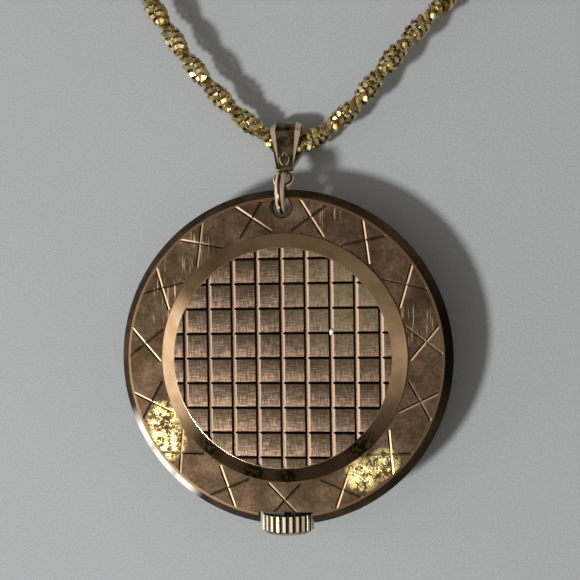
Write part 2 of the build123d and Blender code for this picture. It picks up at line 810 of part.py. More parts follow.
def balance_wheel():
    rim = ring(rim_r, rim_r - rim_wall, rim_bottom, rim_top, balance_at)
    for spoke in range(balance_spokes):
        bar = block(0, rim_r - rim_wall / 2, -spoke_width / 2, spoke_width / 2, rim_bottom, rim_top)
        rim += Pos(*balance_at) * Rot(0, 0, 90 + spoke * 360 / balance_spokes) * bar
    roller_low = wheel_z["escape"] + pivot_clearance
    rim += disc(roller_r, roller_low, roller_low + wheel_thickness, balance_at)
    return rim + staff(balance_at, staff_low, cock_top - pivot_clearance, staff_body_low,
                       cock_bottom - pivot_clearance)


def spiral(place, inner_r, pitch, coils, thickness, low, high):
    """A flat spring as half turns about two centres, each half a pitch larger in diameter than the last."""
    sides = []
    for side in (-1, 1):
        arcs = []
        for half_turn in range(coils * 2):
            up = half_turn % 2 == 0
            middle = place[0] + (-pitch / 4 if up else pitch / 4)
            r = inner_r + half_turn * pitch / 2 + side * thickness / 2
            start = middle + r if up else middle - r
            end = middle - r if up else middle + r
            crest = place[1] + (r if up else -r)
            arcs.append(ThreePointArc((start, place[1]), (middle, crest), (end, place[1])))
        sides.append(arcs)
    inner, outer = sides
    ends = [Line(inner[0] @ 0, outer[0] @ 0), Line(inner[-1] @ 1, outer[-1] @ 1)]
    return Pos(0, 0, low) * extrude(make_face(Curve() + inner + outer + ends), high - low)


def hairspring():
    low = rim_top + running_clearance
    return spiral(balance_at, collet_r, hair_pitch, hair_coils, hair_thickness, low, low + hair_height) \
        + ring(collet_r + hair_thickness / 2, arbor_r, low, low + hair_height, balance_at)


def regulator():
    low = cock_top
    high = cock_top + lever_thickness / 2
    index = polar(balance_at, regulator_reach, 180)
    arm = link(balance_at, jewel_r + arbor_r, index, lever_pin_r, low, high)
    return bored(arm, jewel_r, low - overrun, high + overrun, [balance_at])


# Mainspring barrel and winding wheels
def barrel():
    inner = barrel_drum_r - barrel_wall
    top = barrel_top - barrel_wall
    drum = disc(barrel_drum_r, barrel_bottom, top) - disc(inner, barrel_bottom + barrel_wall, top + overrun)
    drum -= disc(barrel_shaft_r + running_clearance, barrel_bottom - overrun, top)
    drum = Pos(*barrel_at) * drum
    teeth = toothed(barrel_teeth, barrel_module, barrel_teeth_z[0], barrel_teeth_z[1], barrel_at, barrel_phase)
    teeth -= disc(inner, barrel_bottom, barrel_top, barrel_at)
    return drum + teeth


def barrel_cover():
    return ring(barrel_drum_r, barrel_shaft_r + running_clearance, barrel_top - barrel_wall, barrel_top, barrel_at)


def barrel_arbor():
    core_low = barrel_bottom + barrel_wall + running_clearance
    core_high = barrel_top - barrel_wall - running_clearance
    return disc(barrel_shaft_r, barrel_bottom - shaft_end + running_clearance, ratchet_top, barrel_at) \
        + disc(barrel_core_r, core_low, core_high, barrel_at) \
        - disc(arbor_r, ratchet_top - short_screw_length, ratchet_top + overrun, barrel_at)


def mainspring():
    first = barrel_core_r + running_clearance + spring_thickness
    pitch = (barrel_drum_r - barrel_wall - running_clearance - spring_thickness - first) / (spring_coils - 0.25)
    low = barrel_bottom + barrel_wall + running_clearance
    return spiral(barrel_at, first, pitch, spring_coils, spring_thickness, low,
                  barrel_top - barrel_wall - running_clearance)


crown_wheel_phase = 90.0
ratchet_phase = meshing_phase(crown_wheel_phase, crown_wheel_teeth, ratchet_teeth,
                              degrees(atan2(barrel_at[1] + crown_wheel_y, barrel_at[0])))


def ratchet_wheel():
    wheel = toothed(ratchet_teeth, winding_module, ratchet_bottom, ratchet_top, barrel_at, ratchet_phase)
    return wheel - disc(barrel_shaft_r, ratchet_bottom - overrun, ratchet_top + overrun, barrel_at)


def ratchet_screw():
    return screw(barrel_at, ratchet_top, short_screw_length, arbor_r)


def crown_wheel():
    outer = winding_module * crown_wheel_teeth / 2
    wheel = toothed(crown_wheel_teeth, winding_module, crown_wheel_bottom, ratchet_top, crown_wheel_at,
                    crown_wheel_phase)
    contrate = toothed(crown_wheel_teeth, winding_module, crown_wheel_bottom - contrate_depth, crown_wheel_bottom,
                       crown_wheel_at, crown_wheel_phase)
    contrate -= disc(outer - contrate_depth * 2, crown_wheel_bottom - overrun, crown_wheel_bottom, crown_wheel_at)
    wheel += contrate
    return wheel - disc(screw_shank_r + running_clearance, crown_wheel_bottom - overrun, ratchet_top + overrun,
                        crown_wheel_at)


def crown_wheel_screw():
    seat = ratchet_top + running_clearance
    return screw(crown_wheel_at, seat, seat - bridge_bottom)


def click():
    low = bridge_top + running_clearance
    tip = polar(barrel_at, ratchet_tip + lever_pin_r + running_clearance, click_angle - click_turn)
    body = link(click_at, lever_boss_r, tip, lever_pin_r, low, low + click_thickness)
    return bored(body, screw_shank_r + running_clearance, low - overrun, low + overrun, [click_at])


def click_spring():
    """A bent wire on the bridge, from its fixed end past the click's back."""
    low = bridge_top
    fixed = polar(click_at, click_spring_length, 130)
    free = polar(click_at, lever_boss_r + lever_pin_r + running_clearance, 20)
    return link(fixed, lever_pin_r * 1.5, free, lever_pin_r / 2, low, low + click_thickness)


# Motion works under the dial
minute_phase = meshing_phase(0, cannon_teeth, minute_teeth, minute_wheel_angle)
hour_phase = meshing_phase(minute_phase, minute_pinion_teeth, hour_teeth, minute_wheel_angle + 180)
setting_phase = meshing_phase(minute_phase, minute_teeth, setting_teeth, setting_angle)
pinion_module = motion_module * (cannon_teeth + minute_teeth) / (minute_pinion_teeth + hour_teeth)
minute_wheel_z = motion_top - wheel_thickness * 2.2
hour_wheel_z = plate_bottom + running_clearance * 2


def cannon_pinion():
    outer = arbor_r + running_clearance + cannon_wall
    tube = disc(outer, minute_hand_z, motion_top - running_clearance)
    tube += toothed(cannon_teeth, motion_module, minute_wheel_z, minute_wheel_z + wheel_thickness * 1.5,
                    centre_at)
    return tube - disc(arbor_r + running_clearance, minute_hand_z - overrun, motion_top + overrun)


def minute_wheel():
    wheel = toothed(minute_teeth, motion_module, minute_wheel_z, minute_wheel_z + wheel_thickness, minute_at,
                    minute_phase)
    wheel += toothed(minute_pinion_teeth, pinion_module, plate_bottom + running_clearance, minute_wheel_z,
                     minute_at, minute_phase)
    return wheel - disc(post_r + running_clearance, plate_bottom - overrun, motion_top + overrun, minute_at)


def hour_wheel():
    inner = arbor_r + running_clearance + cannon_wall + running_clearance
    wheel = toothed(hour_teeth, pinion_module, hour_wheel_z, hour_wheel_z + wheel_thickness, centre_at, hour_phase)
    wheel += disc(hour_tube_r, hour_hand_z, hour_wheel_z)
    return wheel - disc(inner, minute_hand_z, motion_top)


def setting_wheel():
    wheel = toothed(setting_teeth, motion_module, minute_wheel_z, minute_wheel_z + wheel_thickness * 1.5,
                    setting_at, setting_phase)
    return wheel - disc(post_r + running_clearance, plate_bottom, motion_top + overrun, setting_at)


def minute_hand():
    blade = hand(minute_hand_length, minute_hand_z, arbor_r + running_clearance + cannon_wall)
    return Rot(0, 0, minute_hand_angle) * blade


def hour_hand():
    return Rot(0, 0, hour_hand_angle) * hand(hour_hand_length, hour_hand_z, hour_tube_r)


# Keyless works: stem, winding pinion, clutch, setting lever and yoke
def about_stem(shape):
    """Turn a piece made about Z so that its height runs from the centre out along the stem."""
    return Pos(0, 0, stem_z) * Rot(90, 0, 0) * shape


def winding_stem():
    rod = disc(stem_r, winding_pinion_near - clutch_length, crown_near + stem_in_crown)
    rod += disc(stem_groove_r, stem_end, winding_pinion_near)
    rod -= ring(stem_r * 2, stem_groove_r, lever_groove_near, lever_groove_near + lever_pin_r * 3)
    return about_stem(rod)


def winding_pinion():
    module = winding_pinion_r * 2 / winding_pinion_teeth
    far = winding_pinion_near + winding_pinion_length
    gear = toothed(winding_pinion_teeth, module, winding_pinion_near, far, (0, 0), 180 / winding_pinion_teeth)
    gear &= disc(winding_pinion_r + module / 4, winding_pinion_near, far)
    gear -= disc(stem_r + running_clearance, winding_pinion_near - overrun, far + overrun)
    return about_stem(gear)


def clutch():
    far = clutch_near + clutch_length
    middle = clutch_near + clutch_length / 2
    sleeve = disc(clutch_r, clutch_near + running_clearance * 2, far)
    sleeve -= ring(clutch_r * 2, clutch_r * 0.7, middle - clutch_groove / 2, middle + clutch_groove / 2)
    sleeve -= disc(stem_r + running_clearance, clutch_near - overrun, far + overrun)
    return about_stem(sleeve)


def setting_lever():
    low = plate_bottom + lever_thickness + running_clearance
    high = low + lever_thickness
    pin_at = (0, -lever_groove_near - lever_pin_r * 1.5)
    lever = link(lever_at, lever_boss_r, pin_at, lever_pin_r * 1.5, low, high)
    lever += disc(lever_pin_r, high, stem_z - stem_groove_r - running_clearance, pin_at)
    return lever + disc(post_r, low, motion_top + pivot_length, lever_at)


def yoke():
    low = plate_bottom + lever_thickness * 2 + running_clearance * 2
    high = low + lever_thickness
    finger_at = (-clutch_r + lever_pin_r * 0.9, -clutch_near - clutch_length / 2)
    arm = link(yoke_at, lever_boss_r, (-clutch_r - lever_pin_r, finger_at[1]), lever_pin_r, low, high)
    arm += link((-clutch_r - lever_pin_r, finger_at[1]), lever_pin_r, finger_at, lever_pin_r, low, high)
    arm += disc(lever_pin_r, high, stem_z + stem_r, finger_at)
    return arm + disc(post_r, low, motion_top + pivot_length, yoke_at)


def crown():
    profile = [
        (0, crown_near), (crown_r - crown_round / 2, crown_near), (crown_r, crown_near + crown_round / 2),
        (crown_r, crown_near + crown_length - crown_round),
        (crown_r - crown_round, crown_near + crown_length), (0, crown_near + crown_length),
    ]
    knob = turned(profile)
    for flute in range(crown_flutes):
        knob -= disc(flute_r, crown_near - overrun, crown_near + crown_length + overrun,
                     polar((0, 0), crown_r + flute_r / 4, (flute + 0.5) * 360 / crown_flutes))
    knob -= disc(stem_r, crown_near - overrun, crown_near + stem_in_crown)
    return about_stem(knob)


def crown_gasket():
    return about_stem(ring(crown_gasket_r, stem_r + running_clearance, crown_gasket_place,
                           crown_gasket_place + crown_gasket_length))


# Jump ring through the case's hole, and the bail whose eye hangs on it
def jump_ring():
    return torus_about_x((0, ring_y, ring_z), ring_mean_r, ring_wire_r)


def bail():
    """Built along its own length from the middle of its eye, then sloped down to the table."""
    loop_at = (bail_reach - ring_mean_r, 0)
    foot_at = (eye_inner_r + eye_wire_r * 2, 0)
    half = bail_width / 2
    strap = link(foot_at, eye_wire_r, loop_at, bail_loop_r + bail_wall, -half, half)
    hollow_at = (foot_at[0] + bail_foot_width / 2, 0)
    strap -= link(hollow_at, eye_wire_r / 2, loop_at, bail_loop_r, -half - overrun, half + overrun)
    tip = loop_at[0] + bail_loop_r + bail_wall
    foot = foot_at[0] - eye_wire_r
    taper = [(foot, -bail_foot_width / 2), (loop_at[0], -half), (tip, -half), (tip, half), (loop_at[0], half),
             (foot, bail_foot_width / 2)]
    thickness = bail_loop_r + bail_wall
    strap &= Rot(90, 0, 0) * Pos(0, 0, -thickness) * plate(taper, 0, thickness * 2)
    strap += Rot(90, 0, 0) * Torus(eye_inner_r + eye_wire_r, eye_wire_r)
    slope = radians(bail_slope)
    down = Vector(0, cos(slope), -sin(slope))
    eye_at = Vector(0, ring_y, ring_z) + down * ring_mean_r
    return Plane(origin=eye_at, x_dir=down, z_dir=(1, 0, 0)) * strap


# Chain: its visible run from the clasp through the bail to the coil, the coil's turns, and the tail to the clasp
run_route = [
    (18.4, 42.6, 1.1), (18.4, 39.4, 1.1), (17.6, 36.5, 2.0), (15.0, 33.9, 3.0), (12.0, 30.7, 3.4), (9.3, 27.6, 3.4),
    (7.1, 24.8, 3.1), (3.9, 22.4, 2.5), (1.5, 21.1, 2.1), (-0.9, 21.35, 2.0), (-2.6, 22.5, 2.3), (-5.5, 24.9, 3.0),
    (-8.2, 27.9, 3.4), (-10.6, 31.0, 3.5), (-13.2, 35.4, 3.4), (-16.0, 39.0, 2.9), (-17.0, 43.4, 2.1),
    (-16.9, 48.4, 1.4), (-16.5, 53.6, 1.1), (-16.0, 58.9, 1.1), (-15.9, 63.8, 1.1),
]
tail_route = [
    (13.1, 66.0, 3.8), (13.1, 62.0, 3.8), (13.9, 58.6, 2.8), (16.0, 55.8, 1.6), (18.4, 53.2, 1.1), (18.4, 50.0, 1.1),
]
coil_start = run_route[-1]


def eased(route):
    """The arc radii of a cord's route: 0.45 of the shorter run over the tangent of half the turn."""
    radii = []
    for before, at, after in zip(route, route[1:], route[2:]):
        run_in = Vector(*at) - Vector(*before)
        run_out = Vector(*after) - Vector(*at)
        half_turn = radians(run_in.get_angle(run_out)) / 2
        radii.append(0.45 * min(run_in.length, run_out.length) / tan(half_turn))
    return radii


def tube(path, name):
    """Sweep the chain's outer circle along a path, and print how it compares with its length."""
    section = Plane(origin=path @ 0, z_dir=path % 0) * Circle(chain_r)
    solid = sweep(section, path=path)
    share = solid.volume / (pi * chain_r ** 2 * path.length)
    print(name, "length", round(path.length, 2), "volume share", round(share, 4))
    return solid


def visible_run():
    radii = eased(run_route)
    print("visible run radii", [round(r, 1) for r in radii])
    return tube(FilletPolyline(*run_route, radius=radii), "visible run")


run_tube = visible_run()


def run_between(x_low, x_high):
    """The part of the visible run between two planes square to the bail's hinge line."""
    return run_tube & block(x_low, x_high, ring_y, coil_y, -overrun, coil_pitch * 2)


def chain_left_run():
    return run_between(-coil_r * 2, -in_bail_half)


def chain_right_run():
    return run_between(in_bail_half, coil_r * 2)


def chain_in_bail():
    return run_between(-in_bail_half, in_bail_half)


def coil_edges():
    """Half turns inwards on the table, one rising half turn, then half turns outwards on top."""
    step = coil_pitch / 2
    low = chain_r
    high = chain_r + coil_pitch
    halves = round(coil_turns * 2)
    inwards = [coil_r - half * step for half in range(halves)]
    climb_r = inwards[-1] - coil_tuck
    edges = [Line(coil_start, (coil_start[0], coil_y, low))]
    at = (coil_start[0], coil_y, low)
    for z, radii in ((low, inwards), (high, inwards[::-1])):
        for half, r in enumerate(radii):
            over = half % 2 == 0
            end = (at[0] + 2 * r, coil_y, z) if over else (at[0] - 2 * r, coil_y, z)
            middle = ((at[0] + end[0]) / 2, coil_y + (r if over else -r), z)
            edges.append(ThreePointArc(at, middle, end))
            at = end
        if z == low:
            top = (at[0] - 2 * climb_r, coil_y, high)
            edges += rising_half(Vector(*at), Vector(*top))
            at = top
    return edges


def rising_half(start, end):
    """Two quarter turns that meet halfway up, both level where they join the layers."""
    across = end - start
    r = across.length / 2
    along = across.normalized()
    ahead = Vector(0, -1, 0)
    middle = start + (along + ahead) * r
    bend = sqrt(0.5)
    first = start + (ahead * bend + along * (1 - bend)) * r
    second = end + (ahead * bend - along * (1 - bend)) * r
    return [ThreePointArc(start, first, middle), ThreePointArc(middle, second, end)]


def chain_coil():
    turns = coil_edges()
    tail = FilletPolyline(*tail_route, radius=eased(tail_route))
    print("coil ends", turns[-1] @ 1, "tail starts", tail @ 0, "radii", [round(r, 1) for r in eased(tail_route)])
    path = Wire(turns + tail.edges())
    count = round(path.length)
    points = [path @ (index / count) for index in range(count + 1)]
    reach = round(chain_r * pi)
    gap = min((points[a] - points[b]).length for a in range(len(points)) for b in range(a + reach * 2, len(points)))
    print("coil least gap to itself", round(gap - 2 * chain_r, 3))
    return tube(path, "chain_coil")


# Clasp: a spring ring between the chain's two end rings
clasp_at = (run_route[0][0], run_route[0][1] + clasp_link_r + clasp_link_wire_r * 1.4 + clasp_mean_r, clasp_z)


def arc_bar(start, end, wire_r):
    """A piece of the clasp's ring between two angles."""
    section = Pos(clasp_mean_r, 0, 0) * Plane.XZ * Circle(wire_r)
    bar = revolve(section, Axis.Z, revolution_arc=end - start)
    return Pos(*clasp_at) * Rot(0, 0, start) * bar


def clasp_ring():
    body = arc_bar(clasp_mouth_end, clasp_mouth_start + 360, clasp_wire_r)
    body -= arc_bar(clasp_mouth_start - clasp_bore, clasp_mouth_start + clasp_cut_overrun, bolt_r + running_clearance)
    body -= arc_bar(clasp_mouth_end - clasp_cut_overrun, clasp_mouth_end + clasp_socket + clasp_cut_overrun,
                    bolt_r + running_clearance)
    slot = arc_bar(clasp_mouth_start - clasp_bore, clasp_mouth_start - clasp_socket, clasp_wire_r * 1.5)
    slot &= Pos(*clasp_at) * ring(clasp_mean_r + clasp_wire_r * 2, clasp_mean_r, -thumb_r - running_clearance,
                                  thumb_r + running_clearance)
    return body - slot


def clasp_bolt():
    bolt = arc_bar(clasp_mouth_start - bolt_tail, clasp_mouth_end + clasp_socket, bolt_r)
    thumb_angle = clasp_mouth_start - bolt_tail * 0.8
    thumb = Rot(0, 90, 0) * disc(thumb_r, clasp_mean_r, clasp_mean_r + clasp_wire_r * 2)
    return bolt + Pos(*clasp_at) * Rot(0, 0, thumb_angle) * thumb


def clasp_links():
    links = Part()
    outer = clasp_link_r + clasp_link_wire_r
    for end, side in ((run_route[0], 1), (tail_route[-1], -1)):
        links += torus_about_x((end[0], end[1] + side * outer, outer), clasp_link_r, clasp_link_wire_r)
    return links


pieces = [
    case_body, back_cover, bezel, crystal, crystal_gasket, dial, hour_markers, minute_hand, hour_hand,
    movement_ring, case_clamps, case_clamp_screws, mainplate, barrel_bridge, train_bridge, pallet_cock,
    balance_cock, bridge_screws, click_screw, jewels, centre_wheel, third_wheel, fourth_wheel, escape_wheel,
    pallet_fork, pallet_stones, balance_wheel, hairspring, regulator, barrel, barrel_cover, barrel_arbor,
    mainspring, ratchet_wheel, ratchet_screw, crown_wheel, crown_wheel_screw, click, click_spring,
    cannon_pinion, minute_wheel, hour_wheel, setting_wheel, keyless_cover, winding_stem, winding_pinion,
    clutch, setting_lever, yoke, crown, crown_gasket, jump_ring, bail, chain_in_bail, chain_left_run,
    chain_right_run, chain_coil, clasp_ring, clasp_bolt, clasp_links,
]

os.makedirs("parts", exist_ok=True)
for piece in pieces:
    save(piece.__name__, piece())
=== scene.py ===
import math
import bpy
from mathutils import Matrix, Vector


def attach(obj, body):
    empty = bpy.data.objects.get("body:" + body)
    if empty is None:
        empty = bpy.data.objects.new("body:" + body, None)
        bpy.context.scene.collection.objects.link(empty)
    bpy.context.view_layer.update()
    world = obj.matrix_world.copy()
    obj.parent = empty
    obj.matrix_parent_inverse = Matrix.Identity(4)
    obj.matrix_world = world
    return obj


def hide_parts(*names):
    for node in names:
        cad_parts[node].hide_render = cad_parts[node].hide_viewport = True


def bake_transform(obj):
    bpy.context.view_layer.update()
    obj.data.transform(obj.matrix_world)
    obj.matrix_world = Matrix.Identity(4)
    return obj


# A pendant watch on its rope chain, lying dial down on a pale grey table, seen from above.
# Places are in metres in the frame of the part: +Z up to the decorated back, +Y to the bail.
# In the dictionaries, lengths of the watch and of all finishes are millimetres, and angles are degrees.
# Lengths of the camera, the floor and the lamp are metres.
mm = 0.001
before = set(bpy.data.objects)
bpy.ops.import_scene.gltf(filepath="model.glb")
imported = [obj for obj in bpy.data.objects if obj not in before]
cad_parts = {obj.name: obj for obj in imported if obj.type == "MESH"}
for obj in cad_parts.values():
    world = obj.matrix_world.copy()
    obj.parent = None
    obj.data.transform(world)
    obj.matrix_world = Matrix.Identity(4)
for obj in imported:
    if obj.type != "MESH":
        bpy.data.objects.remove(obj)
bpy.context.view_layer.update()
print("frame loaded,", len(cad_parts), "nodes")


# small helpers

def hexToLinear(code):
    # from an sRGB code to the linear values that Blender mixes
    channels = [int(code[i:i + 2], 16) / 255 for i in (1, 3, 5)]
    linear = [c / 12.92 if c <= 0.04045 else ((c + 0.055) / 1.055) ** 2.4 for c in channels]
    return (*linear, 1.0)


def addNode(tree, kind, settings=None, links=None):
    # one node: its settings by attribute or socket, and what is plugged into its sockets
    node = tree.nodes.new(kind)
    for name, value in (settings or {}).items():
        if isinstance(name, str) and hasattr(node, name) and name not in node.inputs:
            setattr(node, name, value)
        else:
            node.inputs[name].default_value = value
    for name, source in (links or {}).items():
        tree.links.new(source, node.inputs[name])
    return node


def addRamp(tree, source, stops):
    ramp = addNode(tree, "ShaderNodeValToRGB", links={"Fac": source})
    band = ramp.color_ramp
    while len(band.elements) < len(stops):
        band.elements.new(0.5)
    for element, (place, colour) in zip(band.elements, stops):
        element.position = place
        element.color = hexToLinear(colour) if isinstance(colour, str) else (colour, colour, colour, 1)
    return ramp.outputs["Color"]


def newMaterial(name):
    material = bpy.data.materials.new(name)
    material.use_nodes = True
    tree = material.node_tree
    shader = tree.nodes["Principled BSDF"]
    place = addNode(tree, "ShaderNodeTexCoord").outputs["Object"]
    return material, tree, shader, place


def noise(tree, place, grainMm, detail=3.0, roughness=0.5, stretch=(1, 1, 1)):
    # grainMm is the size of one blotch or grain on the real surface
    spread = addNode(tree, "ShaderNodeMapping", {"Scale": stretch}, {"Vector": place})
    return addNode(tree, "ShaderNodeTexNoise",
                   {"Scale": 1 / (grainMm * mm), "Detail": detail, "Roughness": roughness},
                   {"Vector": spread.outputs["Vector"]}).outputs["Fac"]


def addBump(tree, shader, height, depthMm, strength):
    settings = {"Strength": strength, "Distance": depthMm * mm}
    bump = addNode(tree, "ShaderNodeBump", settings, {"Height": height})
    tree.links.new(bump.outputs["Normal"], shader.inputs["Normal"])


def setMaterial(obj, material):
    obj.data.materials.clear()
    obj.data.materials.append(material)


def deselectAll():
    bpy.ops.object.select_all(action="DESELECT")


def makeActive(obj):
    deselectAll()
    obj.select_set(True)
    bpy.context.view_layer.objects.active = obj


def applyPlace(obj):
    makeActive(obj)
    bpy.ops.object.transform_apply(location=True, rotation=True, scale=True)


def selectVertices(obj, test):
    # selects in object mode, so that the next edit-mode operator acts on just these
    bpy.ops.object.mode_set(mode="OBJECT")
    for group in (obj.data.polygons, obj.data.edges):
        for item in group:
            item.select = False
    for vertex in obj.data.vertices:
        vertex.select = bool(test(vertex.co))
    bpy.ops.object.mode_set(mode="EDIT")
    bpy.ops.mesh.select_mode(type="VERT")


# helpers for the materials

patchCoreShare = 0.35    # of a patch's reach, fully covered
edgeBlurMm = 0.02


def mathNode(tree, operation, a, b=0.0, clamp=False):
    settings = {"operation": operation, "use_clamp": clamp}
    links = {}
    for slot, value in ((0, a), (1, b)):
        if isinstance(value, (int, float)):
            settings[slot] = value
        else:
            links[slot] = value
    return addNode(tree, "ShaderNodeMath", settings, links).outputs["Value"]


def times(tree, a, b, clamp=False):
    return mathNode(tree, "MULTIPLY", a, b, clamp)


def without(tree, share):
    return mathNode(tree, "SUBTRACT", 1.0, share)


def mixColour(tree, share, first, second):
    links = {}
    settings = {"data_type": "RGBA"}
    for name, value in (("Factor", share), (6, first), (7, second)):
        if isinstance(value, str):
            settings[name] = hexToLinear(value)
        else:
            links[name] = value
    return addNode(tree, "ShaderNodeMix", settings, links).outputs[2]


def inRange(tree, value, low, high, atLow=0.0, atHigh=1.0):
    # atLow as far as low, atHigh from high on, straight between
    return addNode(tree, "ShaderNodeMapRange",
                   {"From Min": low, "From Max": high, "To Min": atLow, "To Max": atHigh},
                   {"Value": value}).outputs["Result"]


def radiusOf(tree, place, keep=(1, 1, 0)):
    # how far each point lies from the axis that keep leaves out
    flat = addNode(tree, "ShaderNodeVectorMath", {"operation": "MULTIPLY", 1: keep}, {0: place})
    return addNode(tree, "ShaderNodeVectorMath", {"operation": "LENGTH"},
                   {0: flat.outputs["Vector"]}).outputs["Value"]


def turnOf(tree, place):
    # the share of a full turn about Z, from the -X side
    return addNode(tree, "ShaderNodeTexGradient", {"gradient_type": "RADIAL"},
                   {"Vector": place}).outputs["Fac"]


def facingOf(tree):
    # the X, Y and Z parts of the way that each flat faces
    way = addNode(tree, "ShaderNodeNewGeometry").outputs["True Normal"]
    return addNode(tree, "ShaderNodeSeparateXYZ", links={"Vector": way}).outputs


def outside(tree, radius, innerMm, blurMm=edgeBlurMm):
    return inRange(tree, radius, (innerMm - blurMm) * mm, innerMm * mm)


def patchMask(tree, place, centre, reach):
    # 1 round the patch's middle, falling to 0 at its reach
    scale = 1 / (reach * mm)
    moved = addNode(tree, "ShaderNodeMapping",
                    {"Location": (-centre[0] / reach, -centre[1] / reach, 0),
                     "Scale": (scale, scale, scale)},
                    {"Vector": place}).outputs["Vector"]
    return inRange(tree, radiusOf(tree, moved), 1.0, patchCoreShare)


def anyPatch(tree, place, patches):
    masks = [patchMask(tree, place, centre, reach) for centre, reach in patches]
    joined = masks[0]
    for mask in masks[1:]:
        joined = mathNode(tree, "MAXIMUM", joined, mask)
    return joined


# camera

camera = {
    "aim": Vector((0.57, 6.6, 5.15)) * mm,
    "distance": 125 * mm,
    "leanRight": 9.5,      # degrees towards +X
    "roll": 0.8,
    "lens": 78.7,
    "sensorWidth": 36,
    "nearest": 0.01,
    "farthest": 20,
}


def placeCamera(c):
    lean = math.radians(c["leanRight"])
    roll = math.radians(c["roll"])
    away = Vector((math.sin(lean), 0, math.cos(lean)))
    up = Vector((math.sin(roll), math.cos(roll), 0))
    right = up.cross(away).normalized()
    up = away.cross(right)
    data = bpy.data.cameras.new("camera")
    data.lens = c["lens"]
    data.sensor_width = c["sensorWidth"]
    data.clip_start = c["nearest"]
    data.clip_end = c["farthest"]
    holder = bpy.data.objects.new("camera", data)
    bpy.context.scene.collection.objects.link(holder)
    turn = Matrix((right, up, away)).transposed().to_4x4()
    holder.matrix_world = Matrix.Translation(c["aim"] + away * c["distance"]) @ turn
    bpy.context.scene.camera = holder


placeCamera(camera)
print("camera placed")


# floor and light

floor = {
    "size": 4.0,
    "drop": 0.02 * mm,
    "paper": [(0.3, "#999DA1"), (0.5, "#A7ABAF"), (0.72, "#B2B6BA")],
    "grainMm": 0.18,
    "roughness": 0.9,
    "specular": 0.15,
    "reliefMm": 0.02,
    "reliefStrength": 0.35,
}


def makeFloor(f):
    deselectAll()
    bpy.ops.mesh.primitive_plane_add(size=f["size"], location=(0, 0, -f["drop"]))
    table = bpy.context.active_object
    table.name = "tableTop"
    # pale grey paper card: matt, with a fine grain
    material, tree, shader, place = newMaterial("paleGreyCard")
    grain = noise(tree, place, f["grainMm"], detail=4.0, roughness=0.7)
    tree.links.new(addRamp(tree, grain, f["paper"]), shader.inputs["Base Color"])
    shader.inputs["Roughness"].default_value = f["roughness"]
    shader.inputs["Specular IOR Level"].default_value = f["specular"]
    addBump(tree, shader, grain, f["reliefMm"], f["reliefStrength"])
    setMaterial(table, material)


makeFloor(floor)

lights = {
    # what the room shows round the horizon, from -X by -Y, +X and +Y back to -X
    "horizon": [(0.0, "#FFF8EE"), (0.05, "#FFF8EE"), (0.1, "#4A453E"), (0.16, "#34302B"), (0.3, "#2A2723"),
                (0.4, "#3A3632"), (0.5, "#A89F92"), (0.57, "#6C655A"), (0.7, "#5E574C"), (0.8, "#625A4E"),
                (0.88, "#544E46"), (0.93, "#766C60"), (0.96, "#FFF8EE"), (1.0, "#FFF8EE")],
    "overhead": "#A7A49F",
    "overheadEdge": (0.45, 0.85),    # the height at which it takes over from the horizon
    "glow": "#C8BCA8",
    "glowEdge": (0.93, 0.985),       # how near to the key's own direction it shows
    "worldStrength": 1.0,
    "keyDirection": Vector((-3.65, -2.67, 6.0)),
    "keyDistance": 0.42,
    "keySize": 0.055,
    "keyPower": 1.52,
    "keyColour": (1.0, 0.985, 0.96),
    "keyTarget": Vector((0, 6, 5)) * mm,
}


def addKey(light):
    data = bpy.data.lights.new("keyLamp", "AREA")
    data.shape = "DISK"
    data.size = light["keySize"]
    data.energy = light["keyPower"]
    data.color = light["keyColour"]
    lamp = bpy.data.objects.new("keyLamp", data)
    bpy.context.scene.collection.objects.link(lamp)
    away = light["keyDirection"].normalized()
    lamp.location = light["keyTarget"] + away * light["keyDistance"]
    lamp.rotation_euler = (-away).to_track_quat("-Z", "Y").to_euler()


def makeSky(light):
    world = bpy.context.scene.world or bpy.data.worlds.new("studio")
    bpy.context.scene.world = world
    world.use_nodes = True
    tree = world.node_tree
    back = tree.nodes["Background"]
    way = addNode(tree, "ShaderNodeTexCoord").outputs["Generated"]
    height = addNode(tree, "ShaderNodeSeparateXYZ", links={"Vector": way}).outputs["Z"]
    room = addRamp(tree, turnOf(tree, way), light["horizon"])
    sky = mixColour(tree, inRange(tree, height, *light["overheadEdge"]), room, light["overhead"])
    toKey = light["keyDirection"].normalized()
    nearKey = addNode(tree, "ShaderNodeVectorMath", {"operation": "DOT_PRODUCT", 1: toKey},
                      {0: way}).outputs["Value"]
    glow = mixColour(tree, inRange(tree, nearKey, *light["glowEdge"]), sky, light["glow"])
    tree.links.new(glow, back.inputs["Color"])
    back.inputs["Strength"].default_value = light["worldStrength"]


makeSky(lights)
addKey(lights)
bpy.context.scene.view_settings.view_transform = "Standard"
print("floor and light set")


# case gold: each tone has its noise value, and each edge the values where its mask starts and is full

